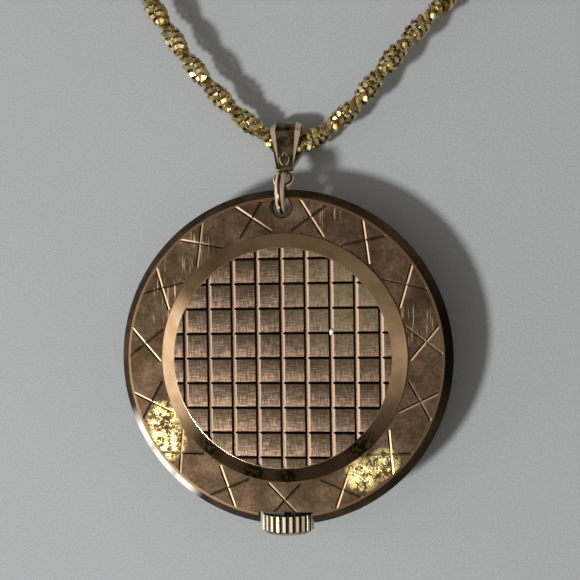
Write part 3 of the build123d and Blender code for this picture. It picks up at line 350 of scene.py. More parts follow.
wornGold = {
    "satin": [(0.36, "#382D22"), (0.46, "#463829"), (0.53, "#544334"), (0.64, "#6A5744")],
    "blotchMm": 3.2,
    "speckleMm": 0.35,
    "speckleShare": 0.3,
    "speckleRelief": 0.6,
    "brushMm": 0.09,
    "brushStretch": (1, 0.12, 1),
    "roughness": 0.52,
    "reliefMm": 0.006,
    "reliefStrength": 0.7,
    "upperEdge": (-0.2, 0.0),            # the underside is spared from wear
    "patches": [((-12.1, -6.0), 2.1), ((-11.8, -8.2), 2.3), ((7.6, -11.4), 2.0), ((9.8, -10.4), 1.9)],
    "patchEdge": (0.1, 0.7),
    "ragMm": 1.1,
    "ragEdge": (0.4, 0.47),
    "crumbMm": 0.5,
    "crumbEdge": (0.46, 0.52),
    "crumbRelief": 12,
    "bright": "#F2DC92",
    "brightRoughness": 0.22,
    # painted highlight and painted shade on the walls of the engraved cuts, by the way each wall faces
    "grooveLit": "#E6C4A0",
    "litEdge": (0.24, 0.34),
    "grooveDark": "#1E160E",
    "darkEdge": (0.05, 0.2),
    "darkShare": 0.8,
    "shallowEdge": (0.75, 0.85),
    "leftwards": -0.9,
    "upwards": (-0.75, 0.5),             # at the left and right ends of the reach
    "upwardsReachMm": 12,
    "scratched": [((-9.8, 11.0), 3.2), ((-11.6, 6.2), 3.4), ((4.0, 14.2), 2.2), ((12.9, 3.0), 2.4)],
    "scratch": "#C8A684",
    "scratchMm": 0.12,
    "scratchStretch": (1, 0.05, 1),
    "scratchEdge": (0.65, 0.69),
    # a paler strip inside the bevel: a painted highlight along the rim's inner edge
    "strip": "#9A7E62",
    "stripInnerMm": 15.46,
    "bevel": [(0.4, "#3A2E20"), (0.5, "#4E3F2C"), (0.62, "#645238")],
    "bevelInnerMm": 15.72,
    "bevelBlurMm": 0.03,
    # painted shade: the rim's bevel nearly black on the right, the side away from the light
    "rimDark": [((16.0, 1.0), 8.5)],
    "rimDarkTone": "#17110B",
    "rimWear": [((-14.2, -7.6), 3.0), ((-12.6, -10.4), 3.2), ((-10.4, -12.4), 2.4)],
    "rimWearEdge": (0.33, 0.41),
    "silver": "#FFFAEE",
    "chalkShare": 0.8,
}


def grooveWalls(tree, place, facing, w):
    # painted light: a painted highlight where a cut's wall looks to the light, painted shade where it looks
    # away
    sideways = addNode(tree, "ShaderNodeSeparateXYZ", links={"Vector": place}).outputs["X"]
    reach = w["upwardsReachMm"] * mm
    # the light is near, so the side it comes from changes across the case
    lean = inRange(tree, sideways, -reach, reach, *w["upwards"])
    towards = mathNode(tree, "ADD", times(tree, facing["X"], w["leftwards"]), times(tree, facing["Y"], lean))
    shallow = inRange(tree, facing["Z"], *w["shallowEdge"])
    lit = times(tree, inRange(tree, towards, *w["litEdge"]), shallow)
    dark = times(tree, inRange(tree, times(tree, towards, -1), *w["darkEdge"]), shallow)
    return lit, times(tree, dark, w["darkShare"])


def makeCaseGold(w):
    # rolled gold, satin by wear: brown patina in blotches, rubbed bright where hands and chain touch it
    material, tree, shader, place = newMaterial("rolledGoldSatinWorn")
    facing = facingOf(tree)
    upper = inRange(tree, facing["Z"], *w["upperEdge"])
    radius = radiusOf(tree, place)
    blotch = noise(tree, place, w["blotchMm"], detail=6.0, roughness=0.65)
    speckle = noise(tree, place, w["speckleMm"], detail=3.0, roughness=0.6)
    ragged = noise(tree, place, w["ragMm"], detail=8.0, roughness=0.75)
    crumbs = noise(tree, place, w["crumbMm"], detail=6.0, roughness=0.8)
    lines = noise(tree, place, w["scratchMm"], detail=1.0, stretch=w["scratchStretch"])
    both = mathNode(tree, "ADD", times(tree, blotch, 1 - w["speckleShare"]),
                    times(tree, speckle, w["speckleShare"]))
    colour = addRamp(tree, both, w["satin"])
    # the engraved cuts get a painted highlight on walls that face the light and painted shade on walls that
    # face away
    litWall, darkWall = grooveWalls(tree, place, facing, w)
    colour = mixColour(tree, litWall, colour, w["grooveLit"])
    colour = mixColour(tree, darkWall, colour, w["grooveDark"])
    rubbedAndHighlit = times(tree, anyPatch(tree, place, w["patches"]), upper)
    wearAndHighlight = times(tree, inRange(tree, ragged, *w["ragEdge"]), inRange(tree, crumbs, *w["crumbEdge"]))
    wear = times(tree, inRange(tree, rubbedAndHighlit, *w["patchEdge"]), wearAndHighlight, clamp=True)
    colour = mixColour(tree, wear, colour, w["bright"])
    scratched = times(tree, anyPatch(tree, place, w["scratched"]), inRange(tree, lines, *w["scratchEdge"]))
    colour = mixColour(tree, times(tree, scratched, upper), colour, w["scratch"])
    # painted highlight: a paler strip along the inner edge of the rim's bevel
    colour = mixColour(tree, outside(tree, radius, w["stripInnerMm"]), colour, w["strip"])
    bevel = outside(tree, radius, w["bevelInnerMm"], w["bevelBlurMm"])
    colour = mixColour(tree, bevel, colour, addRamp(tree, blotch, w["bevel"]))
    # painted shade on the right side of the rim's bevel
    dark = times(tree, bevel, anyPatch(tree, place, w["rimDark"]))
    colour = mixColour(tree, dark, colour, w["rimDarkTone"])
    rim = times(tree, times(tree, anyPatch(tree, place, w["rimWear"]), upper), bevel)
    rim = times(tree, rim, inRange(tree, ragged, *w["rimWearEdge"]), clamp=True)
    colour = mixColour(tree, rim, colour, w["silver"])
    tree.links.new(colour, shader.inputs["Base Color"])
    # the bared white metal of the rim has gone chalky
    tree.links.new(without(tree, times(tree, rim, w["chalkShare"])), shader.inputs["Metallic"])
    gloss = inRange(tree, wear, 0, 1, w["roughness"], w["brightRoughness"])
    tree.links.new(gloss, shader.inputs["Roughness"])
    brushed = noise(tree, place, w["brushMm"], detail=2.0, stretch=w["brushStretch"])
    fine = mathNode(tree, "ADD", brushed, times(tree, speckle, w["speckleRelief"]))
    pitted = times(tree, times(tree, crumbs, rubbedAndHighlit), w["crumbRelief"])
    addBump(tree, shader, mathNode(tree, "ADD", fine, pitted), w["reliefMm"], w["reliefStrength"])
    return material


# other metals, rubber, crystal

toneLow = 0.35      # where the noise takes a material's first tone and its last
toneHigh = 0.65
metalReliefStrength = 0.6
mattReliefMm = 0.004
mattReliefStrength = 0.4
plainMetals = {
    "bezelGold": {"name": "rolledGoldPolished", "tones": ["#B0906A", "#C6A47A", "#D6B68C"], "roughness": 0.2,
                  "blotchMm": 3.0},
    "chainGold": {"name": "goldPolishedRopeLinks", "tones": ["#A48E5A", "#CCB880", "#F0E4BC"],
                  "roughness": 0.24, "blotchMm": 0.9},
    "handGold": {"name": "giltPolishedHands", "tones": ["#B08C46", "#C9A45A"], "roughness": 0.2},
    "nickel": {"name": "nickelPlatedGrainedBrass", "tones": ["#9C988C", "#ADA99C", "#BBB7AB"],
               "roughness": 0.3, "blotchMm": 2.0, "bumpMm": 0.004, "grainMm": 0.12, "stretch": (0.15, 1, 1)},
    "steel": {"name": "hardenedSteelPolished", "tones": ["#85878A", "#989A9D", "#A8AAAC"],
              "roughness": 0.22},
    "trainBrass": {"name": "giltBrassWheels", "tones": ["#B08E4A", "#C6A45C", "#D4B36C"], "roughness": 0.25},
    "blueSteel": {"name": "bluedSpringSteel", "tones": ["#24324E", "#2E4066", "#3A4E78"], "roughness": 0.25},
    # near white: a painted glint on the small curl at one crossing of the cover's grooves
    "glintGold": {"name": "goldPaintedGlint", "tones": ["#FFF0D4", "#FFF6E4", "#FFFAF0"], "roughness": 0.5},
}
mattStuffs = {
    "seal": {"name": "nitrileRubberSeal", "tones": ["#17181A", "#212224"], "roughness": 0.6, "grainMm": 0.3},
    "ruby": {"name": "syntheticRuby", "tones": ["#7E1022", "#A0182E"], "roughness": 0.12, "grainMm": 0.6},
}
crystalFinish = {
    "tint": "#F2F4EE",
    "ior": 1.49,
    "clearRoughness": 0.02,
    "hazyRoughness": 0.05,
    "marksMm": 0.8,
}


def tonesOver(tree, value, tones):
    # the tones at even steps of the value
    steps = [toneLow + (toneHigh - toneLow) * i / (len(tones) - 1) for i in range(len(tones))]
    return addRamp(tree, value, list(zip(steps, tones)))


def makePlainMetal(name, tones, roughness, blotchMm=1.5, bumpMm=0.002, grainMm=0.2, stretch=(1, 1, 1)):
    # a metal in one piece: tones of its colour in soft blotches, and fine marks in relief
    material, tree, shader, place = newMaterial(name)
    blotch = noise(tree, place, blotchMm, detail=4.0)
    tree.links.new(tonesOver(tree, blotch, tones), shader.inputs["Base Color"])
    shader.inputs["Metallic"].default_value = 1.0
    shader.inputs["Roughness"].default_value = roughness
    grain = noise(tree, place, grainMm, detail=2.0, stretch=stretch)
    addBump(tree, shader, grain, bumpMm, metalReliefStrength)
    return material


def makeMatt(name, tones, roughness, grainMm):
    material, tree, shader, place = newMaterial(name)
    grain = noise(tree, place, grainMm, detail=3.0)
    tree.links.new(tonesOver(tree, grain, tones), shader.inputs["Base Color"])
    shader.inputs["Roughness"].default_value = roughness
    addBump(tree, shader, grain, mattReliefMm, mattReliefStrength)
    return material


def makeCrystal(c):
    material, tree, shader, place = newMaterial("acrylicDomedCrystal")
    shader.inputs["Base Color"].default_value = hexToLinear(c["tint"])
    shader.inputs["Transmission Weight"].default_value = 1.0
    shader.inputs["IOR"].default_value = c["ior"]
    marks = noise(tree, place, c["marksMm"], detail=3.0)
    haze = inRange(tree, marks, 0, 1, c["clearRoughness"], c["hazyRoughness"])
    tree.links.new(haze, shader.inputs["Roughness"])
    return material


# back cover

cover = {
    "pitchMm": 2.41,
    "ringInnerMm": 10.74,
    # painted shading in each cell: lit at its lower edge, shaded towards its upper edge
    "cells": [(0.04, "#BC9C84"), (0.2, "#8E7666"), (0.55, "#6E5C4C"), (0.9, "#4E4234")],
    "strokeMm": 0.09,
    "strokeStretch": 0.08,
    "strokeWeight": 3.2,
    # a paler olive-cream sheen over the upper right of the cells: a painted highlight
    "olive": "#A89878",
    "oliveAt": ((7.5, 7.0), 9.0),
    "oliveShare": 0.5,
    "grime": "#4A4030",
    "grimeMm": 0.5,
    "grimeEdge": (0.5, 0.62),
    "grimeShare": 0.5,
    # a painted highlight on groove walls that look left, and painted shade on those that look right, up and
    # down
    "lit": "#E0C2AA",
    "litEdge": (0.3, 0.4),
    "paintedShade": "#2A1E14",
    "shadeEdge": (0.5, 0.6),
    "levelShadeShare": 0.85,
    "ring": [(0.4, "#E2BC94"), (0.58, "#F2D0AC")],
    "ringBlotchMm": 1.8,
    # painted dark reflection in patches along the lower side of the polished ring
    "ringShadePatches": [((-7.4, -8.8), 1.9), ((-3.0, -11.2), 1.7), ((0.4, -11.6), 1.5), ((7.6, -8.6), 2.0)],
    "ringShade": "#5C5230",
    "ringShadeEdge": (0.42, 0.5),
    "cellRoughness": 0.32,
    "ringRoughness": 0.15,
    "reliefMm": 0.01,
    "reliefStrength": 0.7,
}


def makeCoverGold(c):
    # rosier rolled gold: a plain polished ring round cells that a cutter crossed and brushed
    material, tree, shader, place = newMaterial("rolledGoldCutAndBrushed")
    facing = facingOf(tree)
    ring = outside(tree, radiusOf(tree, place), c["ringInnerMm"])
    upDial = addNode(tree, "ShaderNodeSeparateXYZ", links={"Vector": place}).outputs["Y"]
    rows = mathNode(tree, "FRACT", mathNode(tree, "DIVIDE", upDial, c["pitchMm"] * mm))
    grime = noise(tree, place, c["grimeMm"], detail=5.0, roughness=0.75)
    thin = c["strokeStretch"]
    verticals = noise(tree, place, c["strokeMm"], detail=2.0, stretch=(1, thin, 1))
    levels = noise(tree, place, c["strokeMm"], detail=2.0, stretch=(thin, 1, 1))
    strokes = times(tree, mathNode(tree, "ADD", verticals, levels), 1 / 2)
    marks = times(tree, mathNode(tree, "SUBTRACT", strokes, 1 / 2), c["strokeWeight"])
    # painted shading: each cell is lighter at its lower edge and darker towards its upper edge
    cells = addRamp(tree, mathNode(tree, "ADD", rows, marks, clamp=True), c["cells"])
    # painted highlight: the cells paler towards the upper right
    olive = times(tree, patchMask(tree, place, *c["oliveAt"]), c["oliveShare"])
    cells = mixColour(tree, olive, cells, c["olive"])
    grimy = times(tree, inRange(tree, grime, *c["grimeEdge"]), c["grimeShare"])
    cells = mixColour(tree, grimy, cells, c["grime"])
    # painted light: groove walls that look left get a painted highlight, those that look right, up and down
    # get painted shade
    lit = inRange(tree, times(tree, facing["X"], -1), *c["litEdge"])
    rightWall = inRange(tree, facing["X"], *c["shadeEdge"])
    levelWall = inRange(tree, mathNode(tree, "ABSOLUTE", facing["Y"]), *c["shadeEdge"])
    shadedWalls = mathNode(tree, "MAXIMUM", rightWall, times(tree, levelWall, c["levelShadeShare"]))
    cells = mixColour(tree, shadedWalls, mixColour(tree, lit, cells, c["lit"]), c["paintedShade"])
    film = addRamp(tree, noise(tree, place, c["ringBlotchMm"], detail=4.0), c["ring"])
    # painted dark reflection in patches along the ring's lower side, with a ragged edge
    ringShade = times(tree, anyPatch(tree, place, c["ringShadePatches"]), inRange(tree, grime, *c["ringShadeEdge"]))
    film = mixColour(tree, ringShade, film, c["ringShade"])
    tree.links.new(mixColour(tree, ring, cells, film), shader.inputs["Base Color"])
    shader.inputs["Metallic"].default_value = 1.0
    gloss = inRange(tree, ring, 0, 1, c["cellRoughness"], c["ringRoughness"])
    tree.links.new(gloss, shader.inputs["Roughness"])
    addBump(tree, shader, times(tree, strokes, without(tree, ring)), c["reliefMm"], c["reliefStrength"])
    return material


# dial

dialPrint = {
    "silver": ["#D8D2C2", "#E0DACB", "#E8E2D4"],
    "rays": 900.0,           # round the dial
    "ink": "#1C1A17",
    "minutes": 60,
    "trackInnerMm": 10.0,
    "trackOuterMm": 10.45,
    "railMm": 0.07,
    "lineShare": 0.1,        # of the angle from one minute to the next
    "roughness": 0.42,
    "reliefMm": 0.003,
    "reliefStrength": 0.5,
}


def minuteTrack(tree, radius, turn, d):
    # a line at each minute, between two rails
    inner = d["trackInnerMm"] * mm
    outer = d["trackOuterMm"] * mm
    halfRail = d["railMm"] / 2 * mm
    step = mathNode(tree, "FRACT", mathNode(tree, "ADD", times(tree, turn, d["minutes"]), 1 / 2))
    fromLine = mathNode(tree, "ABSOLUTE", mathNode(tree, "SUBTRACT", step, 1 / 2))
    line = mathNode(tree, "LESS_THAN", fromLine, d["lineShare"] / 2)
    beyond = mathNode(tree, "GREATER_THAN", radius, inner)
    within = mathNode(tree, "LESS_THAN", radius, outer)
    ink = times(tree, line, times(tree, beyond, within))
    for at in (inner, outer):
        fromRail = mathNode(tree, "ABSOLUTE", mathNode(tree, "SUBTRACT", radius, at))
        ink = mathNode(tree, "MAXIMUM", ink, mathNode(tree, "LESS_THAN", fromRail, halfRail))
    return ink


def makeDial(d):
    # silvered brass with a fine sunray grain, and a printed minute track
    material, tree, shader, place = newMaterial("silverPlatedSunDial")
    turn = turnOf(tree, place)
    rays = addNode(tree, "ShaderNodeTexNoise", {"noise_dimensions": "1D", "Scale": d["rays"]},
                   {"W": turn}).outputs["Fac"]
    downwards = mathNode(tree, "LESS_THAN", facingOf(tree)["Z"], 0)
    ink = times(tree, minuteTrack(tree, radiusOf(tree, place), turn, d), downwards)
    tree.links.new(mixColour(tree, ink, tonesOver(tree, rays, d["silver"]), d["ink"]),
                   shader.inputs["Base Color"])
    tree.links.new(without(tree, ink), shader.inputs["Metallic"])
    shader.inputs["Roughness"].default_value = d["roughness"]
    addBump(tree, shader, rays, d["reliefMm"], d["reliefStrength"])
    return material


# bail and crown

bailFinish = {
    "tarnish": [(0.38, "#3C3426"), (0.5, "#5C4E3A"), (0.62, "#7E6A50")],
    "tarnishMm": 0.8,
    # a painted highlight along the slanted edges
    "rubbedAndHighlit": "#F2DEC2",
    "asideEdge": (0.25, 0.4),
    "paleShare": 0.5,
    "roughness": 0.24,
    "grainMm": 0.2,
    "reliefMm": 0.003,
    "reliefStrength": 0.5,
}


def makeBailGold(b):
    # polished gold gone brown on its flats, with a painted highlight along its slanted edges
    material, tree, shader, place = newMaterial("goldFilledPolishedBail")
    flats = addRamp(tree, noise(tree, place, b["tarnishMm"], detail=4.0), b["tarnish"])
    # painted highlight on the slanted edges and the eye's sides, by the way they face
    aside = inRange(tree, mathNode(tree, "ABSOLUTE", facingOf(tree)["X"]), *b["asideEdge"])
    tree.links.new(mixColour(tree, aside, flats, b["rubbedAndHighlit"]), shader.inputs["Base Color"])
    tree.links.new(without(tree, times(tree, aside, b["paleShare"])), shader.inputs["Metallic"])
    shader.inputs["Roughness"].default_value = b["roughness"]
    grain = noise(tree, place, b["grainMm"], detail=2.0)
    addBump(tree, shader, grain, b["reliefMm"], b["reliefStrength"])
    return material


crownFinish = {
    "gold": ["#7E7260", "#A09278", "#C8BC9E"],
    "blotchMm": 1.5,
    "stemZ": 4.6,            # the height of the crown's axis
    # painted shade in the grooves of the grip, and a painted highlight along its ridges
    "paintedShade": "#33291C",
    "shadeR": 2.49,
    "ridgeHighlight": "#FFF3DA",
    "ridgeR": 2.52,
    "highlightR": 2.54,
    "endEdge": (-0.6, -0.4),
    "paleShare": 0.6,
    "roughness": 0.2,
    "grainMm": 0.2,
    "reliefMm": 0.002,
    "reliefStrength": 0.6,
}


def makeCrownGold(c):
    # plated gold, with a painted highlight along the ridges of its grip and painted shade in the grooves
    # between them
    material, tree, shader, place = newMaterial("goldPlatedKnurledCrown")
    gold = tonesOver(tree, noise(tree, place, c["blotchMm"], detail=4.0), c["gold"])
    fromStem = addNode(tree, "ShaderNodeVectorMath", {"operation": "SUBTRACT", 1: (0, 0, c["stemZ"] * mm)},
                       {0: place}).outputs["Vector"]
    radius = radiusOf(tree, fromStem, keep=(1, 0, 1))
    grip = inRange(tree, facingOf(tree)["Y"], *c["endEdge"])    # all but the outer end
    # painted shade between the ridges, a painted highlight on their tops
    low = without(tree, inRange(tree, radius, c["shadeR"] * mm, c["ridgeR"] * mm))
    wearAndHighlight = times(tree, inRange(tree, radius, c["ridgeR"] * mm, c["highlightR"] * mm), grip)
    colour = mixColour(tree, times(tree, low, grip), gold, c["paintedShade"])
    tree.links.new(mixColour(tree, wearAndHighlight, colour, c["ridgeHighlight"]), shader.inputs["Base Color"])
    tree.links.new(without(tree, times(tree, wearAndHighlight, c["paleShare"])), shader.inputs["Metallic"])
    shader.inputs["Roughness"].default_value = c["roughness"]
    grain = noise(tree, place, c["grainMm"], detail=2.0)
    addBump(tree, shader, grain, c["reliefMm"], c["reliefStrength"])
    return material


materials = {key: makePlainMetal(**values) for key, values in plainMetals.items()}
materials.update({key: makeMatt(**values) for key, values in mattStuffs.items()})
materials.update({
    "caseGold": makeCaseGold(wornGold),
    "coverGold": makeCoverGold(cover),
    "bailGold": makeBailGold(bailFinish),
    "crownGold": makeCrownGold(crownFinish),
    "crystal": makeCrystal(crystalFinish),
    "dial": makeDial(dialPrint),
})

nodesOf = {
    "caseGold": ["case_body"],
    "coverGold": ["back_cover"],
    "bezelGold": ["bezel"],
    "bailGold": ["bail", "jump_ring"],
    "crownGold": ["crown"],
    "chainGold": ["clasp_ring", "clasp_bolt", "clasp_links"],
    "crystal": ["crystal"],
    "seal": ["crystal_gasket", "crown_gasket"],
    "dial": ["dial"],
    "handGold": ["hour_hand", "minute_hand", "hour_markers"],
    "nickel": ["mainplate", "barrel_bridge", "train_bridge", "pallet_cock", "balance_cock", "movement_ring",
               "keyless_cover"],
    "steel": ["bridge_screws", "case_clamp_screws", "click_screw", "ratchet_wheel", "ratchet_screw",
              "crown_wheel", "crown_wheel_screw", "click", "click_spring", "winding_stem", "winding_pinion",
              "clutch", "setting_lever", "yoke", "barrel_arbor", "pallet_fork", "case_clamps", "regulator",
              "cannon_pinion", "setting_wheel", "escape_wheel"],
    "trainBrass": ["centre_wheel", "third_wheel", "fourth_wheel", "barrel", "barrel_cover", "minute_wheel",
                   "hour_wheel", "balance_wheel"],
    "blueSteel": ["mainspring", "hairspring"],
    "ruby": ["jewels", "pallet_stones"],
}
for finish, names in nodesOf.items():
    for name in names:
        setMaterial(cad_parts[name], materials[finish])
print("materials set")


# rope chain: the route's points repeat the part's own, in millimetres

chain = {
    "run": [
        (18.4, 42.6, 1.1), (18.4, 39.4, 1.1), (17.6, 36.5, 2.0), (15.0, 33.9, 3.0), (12.0, 30.7, 3.4),
        (9.3, 27.6, 3.4), (7.1, 24.8, 3.1), (3.9, 22.4, 2.5), (1.5, 21.1, 2.1), (-0.9, 21.35, 2.0),
        (-2.6, 22.5, 2.3), (-5.5, 24.9, 3.0), (-8.2, 27.9, 3.4), (-10.6, 31.0, 3.5), (-13.2, 35.4, 3.4),
        (-16.0, 39.0, 2.9), (-17.0, 43.4, 2.1), (-16.9, 48.4, 1.4), (-16.5, 53.6, 1.1), (-16.0, 58.9, 1.1),
        (-15.9, 63.8, 1.1),
    ],
    "tail": [
        (13.1, 66.0, 3.8), (13.1, 62.0, 3.8), (13.9, 58.6, 2.8), (16.0, 55.8, 1.6), (18.4, 53.2, 1.1),
        (18.4, 50.0, 1.1),
    ],
    "ropeR": 1.1,
    "coilPitch": 2.7,
    "coilHalves": 5,
    "coilR": 13.1,
    "coilY": 66.0,
    "climbTuck": 1.4,
    "pointsPerHalf": 8,
    "splineSteps": 12,
    "linkSpacing": 0.3,      # along the rope, from one link to the next
    "linkR": 0.56,
    "linkSides": 9,
    "linkWireR": 0.24,
    "linkWireSides": 4,
    "linkStretch": 1.15,
    "linkOffset": 0.29,      # each link's middle lies beside the rope's own line
    "linkTilt": 52.0,
    "layPitch": 7.4,         # one full turn of the two strands
    "followsBailTo": 22,     # along Y: past here the rope turns less and less with the bail
    "liesStillFrom": 42,     # and from here on it stays on the table, as the clasp does
}


def coilPoints(c):
    # half turns inwards on the table, one rising half turn, half turns outwards on top
    points = []
    low = c["ropeR"]
    high = low + c["coilPitch"]
    step = math.pi / c["pointsPerHalf"]
    swell = 1 / math.cos(step / 2)
    inwards = [c["coilR"] - half * c["coilPitch"] / 2 for half in range(c["coilHalves"])]
    x = c["run"][-1][0]
    layers = [(low, inwards), (high, inwards[::-1])]
    for layer, (z, radii) in enumerate(layers):
        for half, r in enumerate(radii):
            over = half % 2 == 0
            middle = x + r if over else x - r
            for i in range(c["pointsPerHalf"]):
                angle = (i + 0.5) * step
                side = -math.cos(angle) if over else math.cos(angle)
                rise = math.sin(angle) if over else -math.sin(angle)
                points.append((middle + side * r * swell, c["coilY"] + rise * r * swell, z))
            x = x + 2 * r if over else x - 2 * r
        if layer == 0:
            r = inwards[-1] - c["climbTuck"]
            for i in range(c["pointsPerHalf"]):
                angle = (i + 0.5) * step
                height = low + c["coilPitch"] * (1 - math.cos(angle)) / 2
                across = x - r + r * swell * math.cos(angle)
                points.append((across, c["coilY"] - r * swell * math.sin(angle), height))
            x -= 2 * r
    return points


def makeRoute(c):
    route = c["run"] + coilPoints(c) + c["tail"]
    curve = bpy.data.curves.new("ropeRoute", "CURVE")
    curve.dimensions = "3D"
    curve.resolution_u = c["splineSteps"]
    spline = curve.splines.new("NURBS")
    spline.points.add(len(route) - 1)
    for point, at in zip(spline.points, route):
        point.co = (*(v * mm for v in at), 1)
    spline.order_u = 3
    spline.use_endpoint_u = True
    holder = bpy.data.objects.new("ropeRoute", curve)
    bpy.context.scene.collection.objects.link(holder)
    bpy.context.view_layer.update()
    line = bpy.data.meshes.new_from_object(holder)
    points = [v.co.copy() for v in line.vertices]
    bpy.data.objects.remove(holder)
    bpy.data.meshes.remove(line)
    return points


def evenly(points, spacing):
    # places along the line at equal steps, with the line's direction at each
    lengths = [0.0]
    for a, b in zip(points, points[1:]):
        lengths.append(lengths[-1] + (b - a).length)
    count = int(lengths[-1] / spacing)
    places = []
    segment = 0
    for i in range(count + 1):
        want = lengths[-1] * i / count
        while segment < len(points) - 2 and lengths[segment + 1] < want:
            segment += 1
        run = points[segment + 1] - points[segment]
        share = (want - lengths[segment]) / run.length
        places.append((want, points[segment] + run * share, run.normalized()))
    return places, lengths[-1]


def makeLink(c):
    # one link, made once and copied: a small ring about Z, its wire taller than wide
    deselectAll()
    bpy.ops.mesh.primitive_torus_add(major_segments=c["linkSides"], minor_segments=c["linkWireSides"],
                                     major_radius=c["linkR"] * mm, minor_radius=c["linkWireR"] * mm)
    link = bpy.context.active_object
    bpy.ops.object.mode_set(mode="EDIT")
    bpy.ops.transform.resize(value=(1, 1, c["linkStretch"]))
    bpy.ops.object.mode_set(mode="OBJECT")
    return link


def makeChain(c):
    points = makeRoute(c)
    places, length = evenly(points, c["linkSpacing"] * mm)
    link = makeLink(c)
    ringPoints = [v.co.copy() for v in link.data.vertices]
    ringFaces = [tuple(p.vertices) for p in link.data.polygons]
    bpy.data.objects.remove(link)
    tilt = math.radians(c["linkTilt"])
    vertices = []
    faces = []
    across = Vector((0, 0, 1))
    for index, (at, centre, along) in enumerate(places):
        across = (across - along * across.dot(along)).normalized()
        beside = along.cross(across)
        turn = 2 * math.pi * at / (c["layPitch"] * mm) + math.pi * (index % 2)
        outward = across * math.cos(turn) + beside * math.sin(turn)
        axis = along * math.cos(tilt) + along.cross(outward) * math.sin(tilt)
        side = axis.cross(outward)
        middle = centre + outward * c["linkOffset"] * mm
        first = len(vertices)
        vertices += [middle + outward * p.x + side * p.y + axis * p.z for p in ringPoints]
        faces += [tuple(first + v for v in face) for face in ringFaces]
    mesh = bpy.data.meshes.new("ropeChain")
    mesh.from_pydata(vertices, [], faces)
    mesh.update()
    rope = bpy.data.objects.new("ropeChain", mesh)
    bpy.context.scene.collection.objects.link(rope)
    makeActive(rope)
    bpy.ops.object.shade_flat()    # diamond-cut links flash in flat facets
    setMaterial(rope, materials["chainGold"])
    print("rope chain:", len(places), "links,", round(length / mm, 1), "mm,", len(faces) * 2, "triangles")
    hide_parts("chain_left_run", "chain_right_run", "chain_coil", "chain_in_bail")
    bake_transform(rope)


makeChain(chain)


# bail: a tapered strap folded round the rope, its edges slanted, with an eye for the jump ring

bail = {
    "hingeY": 16.2,
    "hingeZ": 5.6,
    "slope": 33.7,
    "reach": 6.66,           # from the hinge line to the middle of the loop
    "loopR": 1.5,
    "loopSides": 48,
    "wall": 0.33,
    "width": 3.1,
    "footWidth": 1.7,
    "footAt": 2.66,
    "footStartShare": 0.2,   # of the loop's radius, from its middle towards the watch
    "footDepthShare": 0.3,
    "footHeightShare": 0.17,
    "slantWidth": 0.55,
    "slantDrop": 0.22,
    "edgeReach": 0.01,       # how near to an edge its points are picked
    "leaf": (3.0, 4.5),
    "leafR": 0.5,
    "leafSides": 28,
    "leafThickness": 0.22,
    "leafTilt": 24.6,
    "leafZ": 0.66,
    "leafTipShare": 0.45,
    "leafBevel": 0.07,
    "eyeAt": 1.6,
    "eyeR": 0.82,
    "eyeSides": 32,
    "eyeWireR": 0.24,
    "eyeWireSides": 12,
    "smoothUnder": 20,       # degrees between two flats
}


def makeStrap(b):
    outer = (b["loopR"] + b["wall"]) * mm
    loopAt = b["reach"] * mm
    slant = b["slantWidth"] * mm
    flat = b["width"] * mm / 2 - slant
    deselectAll()
    bpy.ops.mesh.primitive_cylinder_add(vertices=b["loopSides"], radius=outer, depth=flat * 2,
                                        end_fill_type="NOTHING", location=(0, loopAt, 0),
                                        rotation=(0, math.pi / 2, 0))
    strap = bpy.context.active_object
    strap.name = "bailStrap"
    applyPlace(strap)
    for side in (-1, 1):    # slanted edges, all round
        selectVertices(strap, lambda at: at.x * side > flat - b["edgeReach"] * mm)
        bpy.ops.mesh.extrude_region_move(TRANSFORM_OT_translate={"value": (side * slant, 0, 0)})
        shrink = 1 - b["slantDrop"] * mm / outer
        bpy.ops.transform.resize(value=(1, shrink, shrink), center_override=(0, loopAt, 0))
    # the side towards the watch becomes the foot
    selectVertices(strap, lambda at: at.y < loopAt - b["footStartShare"] * outer)
    foot = (0, loopAt - outer, 0)
    narrow = (b["footWidth"] / b["width"], b["footDepthShare"], b["footHeightShare"])
    bpy.ops.transform.resize(value=narrow, center_override=foot)
    bpy.ops.transform.translate(value=(0, b["footAt"] * mm - foot[1], 0))
    bpy.ops.object.mode_set(mode="OBJECT")
    thicken = strap.modifiers.new("wall", "SOLIDIFY")
    thicken.thickness = b["wall"] * mm
    thicken.offset = -1
    bpy.ops.object.modifier_apply(modifier="wall")
    return strap


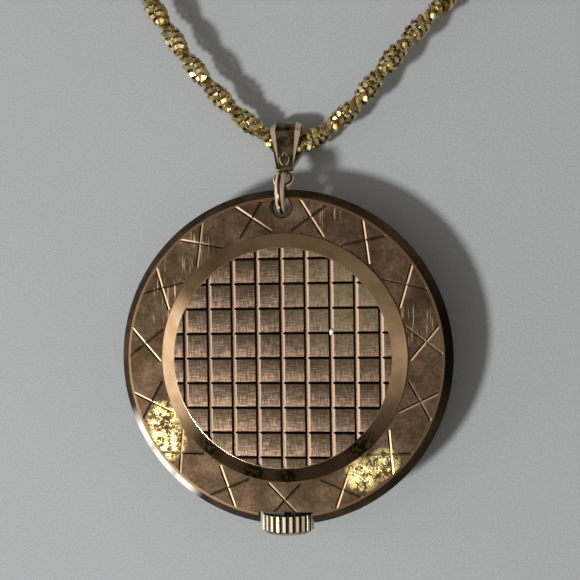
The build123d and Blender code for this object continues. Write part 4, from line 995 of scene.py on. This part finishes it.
def makeLeaf(b):
    # a leaf-shaped facet on the front leg, above the eye
    low, high = b["leaf"]
    radius = b["leafR"] * mm
    tip = (0, high * mm, b["leafZ"] * mm)
    deselectAll()
    bpy.ops.mesh.primitive_cylinder_add(vertices=b["leafSides"], radius=radius,
                                        depth=b["leafThickness"] * mm,
                                        location=(0, (low + high) / 2 * mm, b["leafZ"] * mm),
                                        rotation=(math.radians(b["leafTilt"]), 0, 0),
                                        scale=(1, high - low, 1))
    leaf = bpy.context.active_object
    applyPlace(leaf)
    selectVertices(leaf, lambda at: at.y > tip[1] - radius)
    bpy.ops.transform.resize(value=(b["leafTipShare"], 1, 1), center_override=tip)
    bpy.ops.mesh.select_all(action="SELECT")
    bpy.ops.mesh.bevel(offset=b["leafBevel"] * mm, segments=1, affect="EDGES")
    bpy.ops.object.mode_set(mode="OBJECT")
    return leaf


def makeEye(b):
    deselectAll()
    bpy.ops.mesh.primitive_torus_add(major_segments=b["eyeSides"], minor_segments=b["eyeWireSides"],
                                     major_radius=b["eyeR"] * mm, minor_radius=b["eyeWireR"] * mm,
                                     location=(0, b["eyeAt"] * mm, 0))
    eye = bpy.context.active_object
    applyPlace(eye)
    return eye


def makeBail(b):
    strap = makeStrap(b)
    leaf = makeLeaf(b)
    eye = makeEye(b)
    makeActive(strap)
    eye.select_set(True)
    leaf.select_set(True)
    bpy.ops.object.join()
    strap.rotation_euler = (-math.radians(b["slope"]), 0, 0)
    strap.location = (0, b["hingeY"] * mm, b["hingeZ"] * mm)
    applyPlace(strap)
    bpy.ops.object.shade_smooth_by_angle(angle=math.radians(b["smoothUnder"]))
    setMaterial(strap, materials["bailGold"])
    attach(strap, "bail")
    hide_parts("bail")


makeBail(bail)
print("bail made")


# a small curl of metal at one crossing of the cover's grooves, near white as a painted glint

burr = {
    "crossing": (2, 1),
    "beside": (0.12, 0.1),
    "radius": 0.3,
    "shape": (0.8, 1.2, 0.5),
    "twist": 35,
}


def makeBurr(b):
    x, y = [(number * cover["pitchMm"] + aside) * mm for number, aside in zip(b["crossing"], b["beside"])]
    nearMiddle = cover["pitchMm"] * 2 * mm
    top = max(v.co.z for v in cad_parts["back_cover"].data.vertices if v.co.xy.length < nearMiddle)
    deselectAll()
    bpy.ops.mesh.primitive_ico_sphere_add(subdivisions=2, radius=b["radius"] * mm, location=(x, y, top))
    curl = bpy.context.active_object
    curl.name = "cutterCurl"
    curl.scale = b["shape"]
    applyPlace(curl)
    selectVertices(curl, lambda at: at.x > x)
    bpy.ops.transform.rotate(value=math.radians(b["twist"]), orient_axis="Z", center_override=(x, y, top))
    bpy.ops.object.mode_set(mode="OBJECT")
    setMaterial(curl, materials["glintGold"])
    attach(curl, "root")


makeBurr(burr)
print("curl made")
